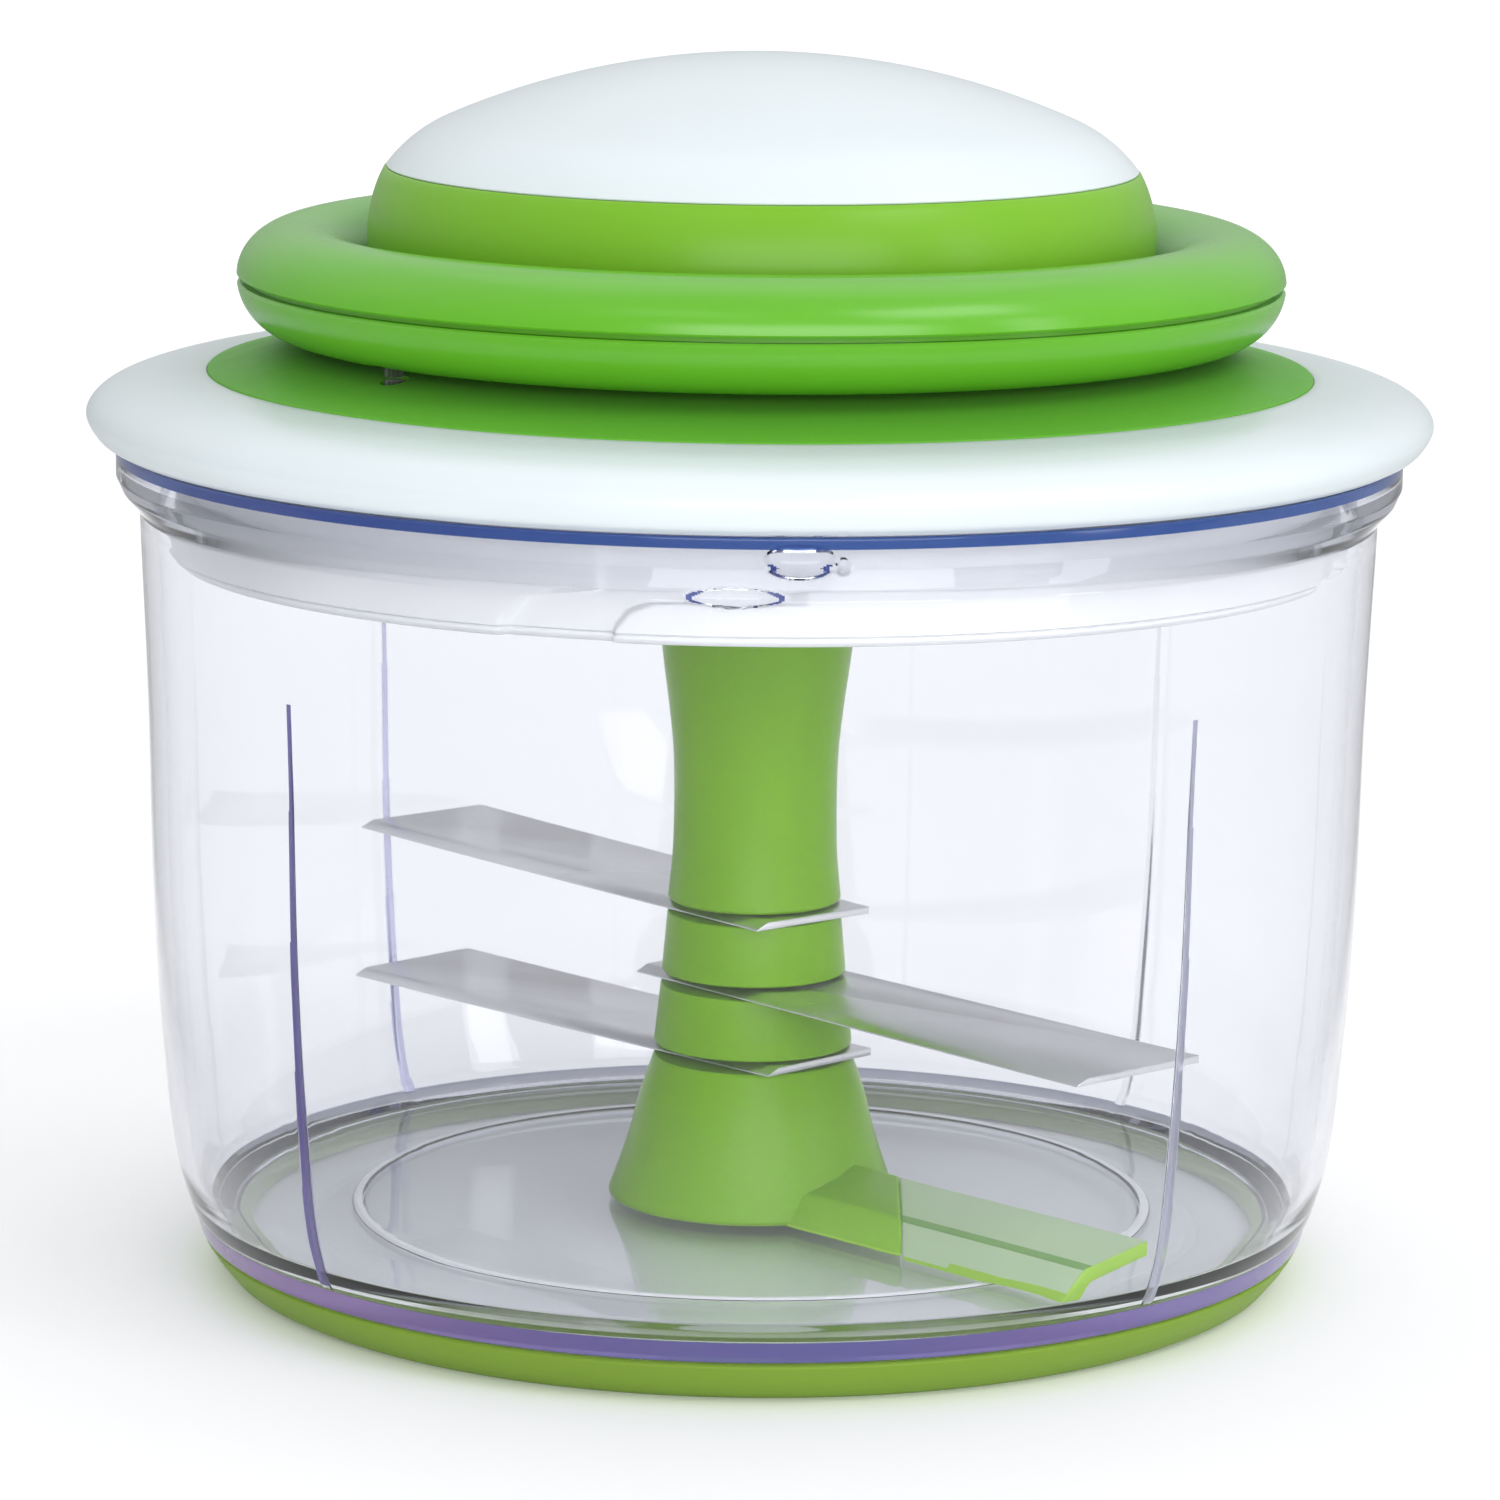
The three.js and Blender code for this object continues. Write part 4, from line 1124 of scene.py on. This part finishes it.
def make_screws():
    kinds = [
        ("skirt_screw_", *SKIRT_SCREWS, 79.3, 80.4, 2.9, 1.4, 91),
        ("band_screw_", *BAND_SCREWS, 93.4, 94.7, 2.3, 1.2, 97),
        ("housing_screw_", *HOUSING_SCREWS, 111.5, 112.7, 2.6, 1.3, 122),
    ]
    for name, radius, azimuths, low, high, head, shank, end in kinds:
        for index, azimuth in enumerate(azimuths):
            spot = polar(radius, azimuth)
            thread = []
            pitch = 0.9
            for k in range(int((end - 1 - high - 0.6) / pitch)):
                z = high + 0.5 + k * pitch
                thread += [(shank - 0.22, z), (shank, z + 0.3), (shank - 0.22, z + 0.6)]
            profile = softened([
                (0, low), (head - 0.5, low + 0.02, 0.4), (head, low + 0.6, 0.3), (head, high, 0.1),
                (shank, high), *thread, (shank - 0.2, end - 1), (0, end),
            ])
            screw = turned(profile, SMALL, centre=spot)
            cross = []
            for across, along in ((0.35, 1.5), (1.5, 0.35)):
                sides = (spot.x - across, spot.x + across, spot.y - along, spot.y + along)
                cross.append(block(*sides, low - 0.5, low + 0.7))
            finish_piece(cut(screw, cross), f"{name}{index + 1}", STEEL)


# ---- stage, light and camera ----


CAMERA_X = -0.67
CAMERA_DISTANCE = 700
CAMERA_HEIGHT = 187.1
CAMERA_PITCH = 10.53
CAMERA_ROLL = 0.636
CAMERA_LENS = 156.5


def make_camera():
    camera = add_object("camera", bpy.data.cameras.new("camera"))
    camera.data.lens = CAMERA_LENS
    camera.data.sensor_width = 36
    camera.data.clip_start = 0.05
    camera.data.clip_end = 50
    pitch, roll = math.radians(CAMERA_PITCH), math.radians(CAMERA_ROLL)
    ahead = Vector((0, math.cos(pitch), -math.sin(pitch)))
    level = Vector((1, 0, 0))
    upright = level.cross(ahead)
    right = math.cos(roll) * level + math.sin(roll) * upright
    up = math.cos(roll) * upright - math.sin(roll) * level
    camera.matrix_world = Matrix((
        (right.x, up.x, -ahead.x, CAMERA_X * MM),
        (right.y, up.y, -ahead.y, -CAMERA_DISTANCE * MM),
        (right.z, up.z, -ahead.z, CAMERA_HEIGHT * MM),
        (0, 0, 0, 1),
    ))
    bpy.context.scene.camera = camera


FRONT_CARD = (-0.16, -0.10)
SIDE_CARDS = (0.090, 0.115)
FRAME_SPREAD = 0.115


def calculated(tree, operation, *terms):
    """The result of a Math node on up to three terms, each of them a socket or a number."""
    node = tree.nodes.new("ShaderNodeMath")
    node.operation = operation
    for socket, term in zip(node.inputs, terms):
        plug(tree, socket, term)
    return node.outputs["Value"]


def make_floor():
    """A white table top. Mirrored in the bowl it shows darker cards in front and at both sides, as on a
    product photographer's table, so that the clear wall's edges can be seen."""
    corners = [(-6000, -6000, 0), (6000, -6000, 0), (6000, 6000, 0), (-6000, 6000, 0)]
    floor = mesh_of(corners, [(0, 1, 2, 3)])
    material, tree, shader, _ = new_material(
        "floor", Roughness=0.9, Specular_IOR_Level=0.1, Emission_Color=(1, 1, 1, 1),
    )
    place = add_node(tree, "TexCoord").outputs["Object"]
    parts = add_node(tree, "SeparateXYZ", Vector=place)
    path = add_node(tree, "LightPath")
    sharp = calculated(tree, "SUBTRACT", 1.0, path.outputs["Is Diffuse Ray"])
    mirrored = calculated(tree, "MULTIPLY", path.outputs["Is Reflection Ray"], sharp)
    open_table = calculated(tree, "SUBTRACT", 1.0, mirrored)
    behind = ranged(tree, parts.outputs["Y"], 0.0, 1.0, *FRONT_CARD)
    aside = calculated(tree, "ABSOLUTE", parts.outputs["X"])
    aside = calculated(tree, "MULTIPLY_ADD", parts.outputs["Y"], -FRAME_SPREAD, aside)
    between = ranged(tree, aside, 1.0, 0.0, *SIDE_CARDS)
    table = blended(tree, noise(tree, 6, 2), (0.93, 0.93, 0.93), (0.95, 0.95, 0.95))
    reach = tree.nodes.new("ShaderNodeVectorMath")
    reach.operation = "LENGTH"
    plug(tree, reach.inputs[0], place)
    # The table glows, faintly near the object and more strongly away from it: painted light that keeps the
    # far table white.
    glow = ranged(tree, reach.outputs["Value"], 0.09, 0.4, 0.0, 2.0)
    for share, card in ((between, 0.5), (behind, 0.1)):
        share = calculated(tree, "MAXIMUM", share, open_table)
        cover = add_node(tree, "MixRGB", Fac=share, Color1=(card, card, card, 1), Color2=table)
        table = cover.outputs["Color"]
        glow = calculated(tree, "MULTIPLY", glow, share)
    feed(tree, shader, Base_Color=table, Emission_Strength=glow)
    floor.name = "floor"
    floor.data.materials.append(material)


def lamp(name, azimuth, elevation, distance, size, power):
    """A soft oblong lamp that looks at the middle of the object."""
    light = bpy.data.lights.new(name, "AREA")
    light.shape = "RECTANGLE"
    light.size, light.size_y = size
    light.energy = power
    target = Vector((0, 0, 0.07))
    a, e = math.radians(azimuth), math.radians(elevation)
    way = Vector((math.sin(a) * math.cos(e), -math.cos(a) * math.cos(e), math.sin(e)))
    made = add_object(name, light)
    made.location = target + way * distance
    made.rotation_euler = way.to_track_quat("Z", "Y").to_euler()


def make_world():
    """A pale studio: brightest overhead and behind, dimmer towards the camera's side."""
    world = bpy.data.worlds.new("studio")
    bpy.context.scene.world = world
    world.use_nodes = True
    tree = world.node_tree
    tree.nodes.clear()
    place = add_node(tree, "TexCoord")
    parts = add_node(tree, "SeparateXYZ", Vector=place.outputs["Generated"])
    level = ranged(tree, parts.outputs["Z"], 0.45, 1.0, 0.0, 0.6)
    front = ranged(tree, parts.outputs["Y"], 0.45, 1.0, -0.7, 0.2)
    strength = calculated(tree, "MULTIPLY", level, front)
    background = add_node(tree, "Background", Color=(0.97, 0.985, 1.0, 1), Strength=strength)
    add_node(tree, "OutputWorld", Surface=background.outputs[0])


def make_studio():
    make_camera()
    make_floor()
    make_world()
    lamp("key", 48, 46, 1.6, (0.8, 0.55), 5)
    lamp("fill", -20, 46, 1.7, (0.7, 0.4), 1)
    lamp("front", 8, 12, 1.8, (1.8, 0.75), 17)
    lamp("strip", 60, 8, 1.5, (0.25, 0.9), 2.5)
    lamp("top", 180, 70, 1.8, (1.6, 1.2), 3)
    scene = bpy.context.scene
    scene.view_settings.view_transform = "Standard"
    scene.cycles.max_bounces = 24
    scene.cycles.transmission_bounces = 20
    scene.cycles.transparent_max_bounces = 24


make_studio()
make_base()
make_bowl()
make_cover()
make_skirt()
make_dome()
make_ring()
make_riser()
make_drive()
make_spring()
make_ratchet()
make_cord_lead()
make_column()
make_arm()
make_blades()
make_screws()
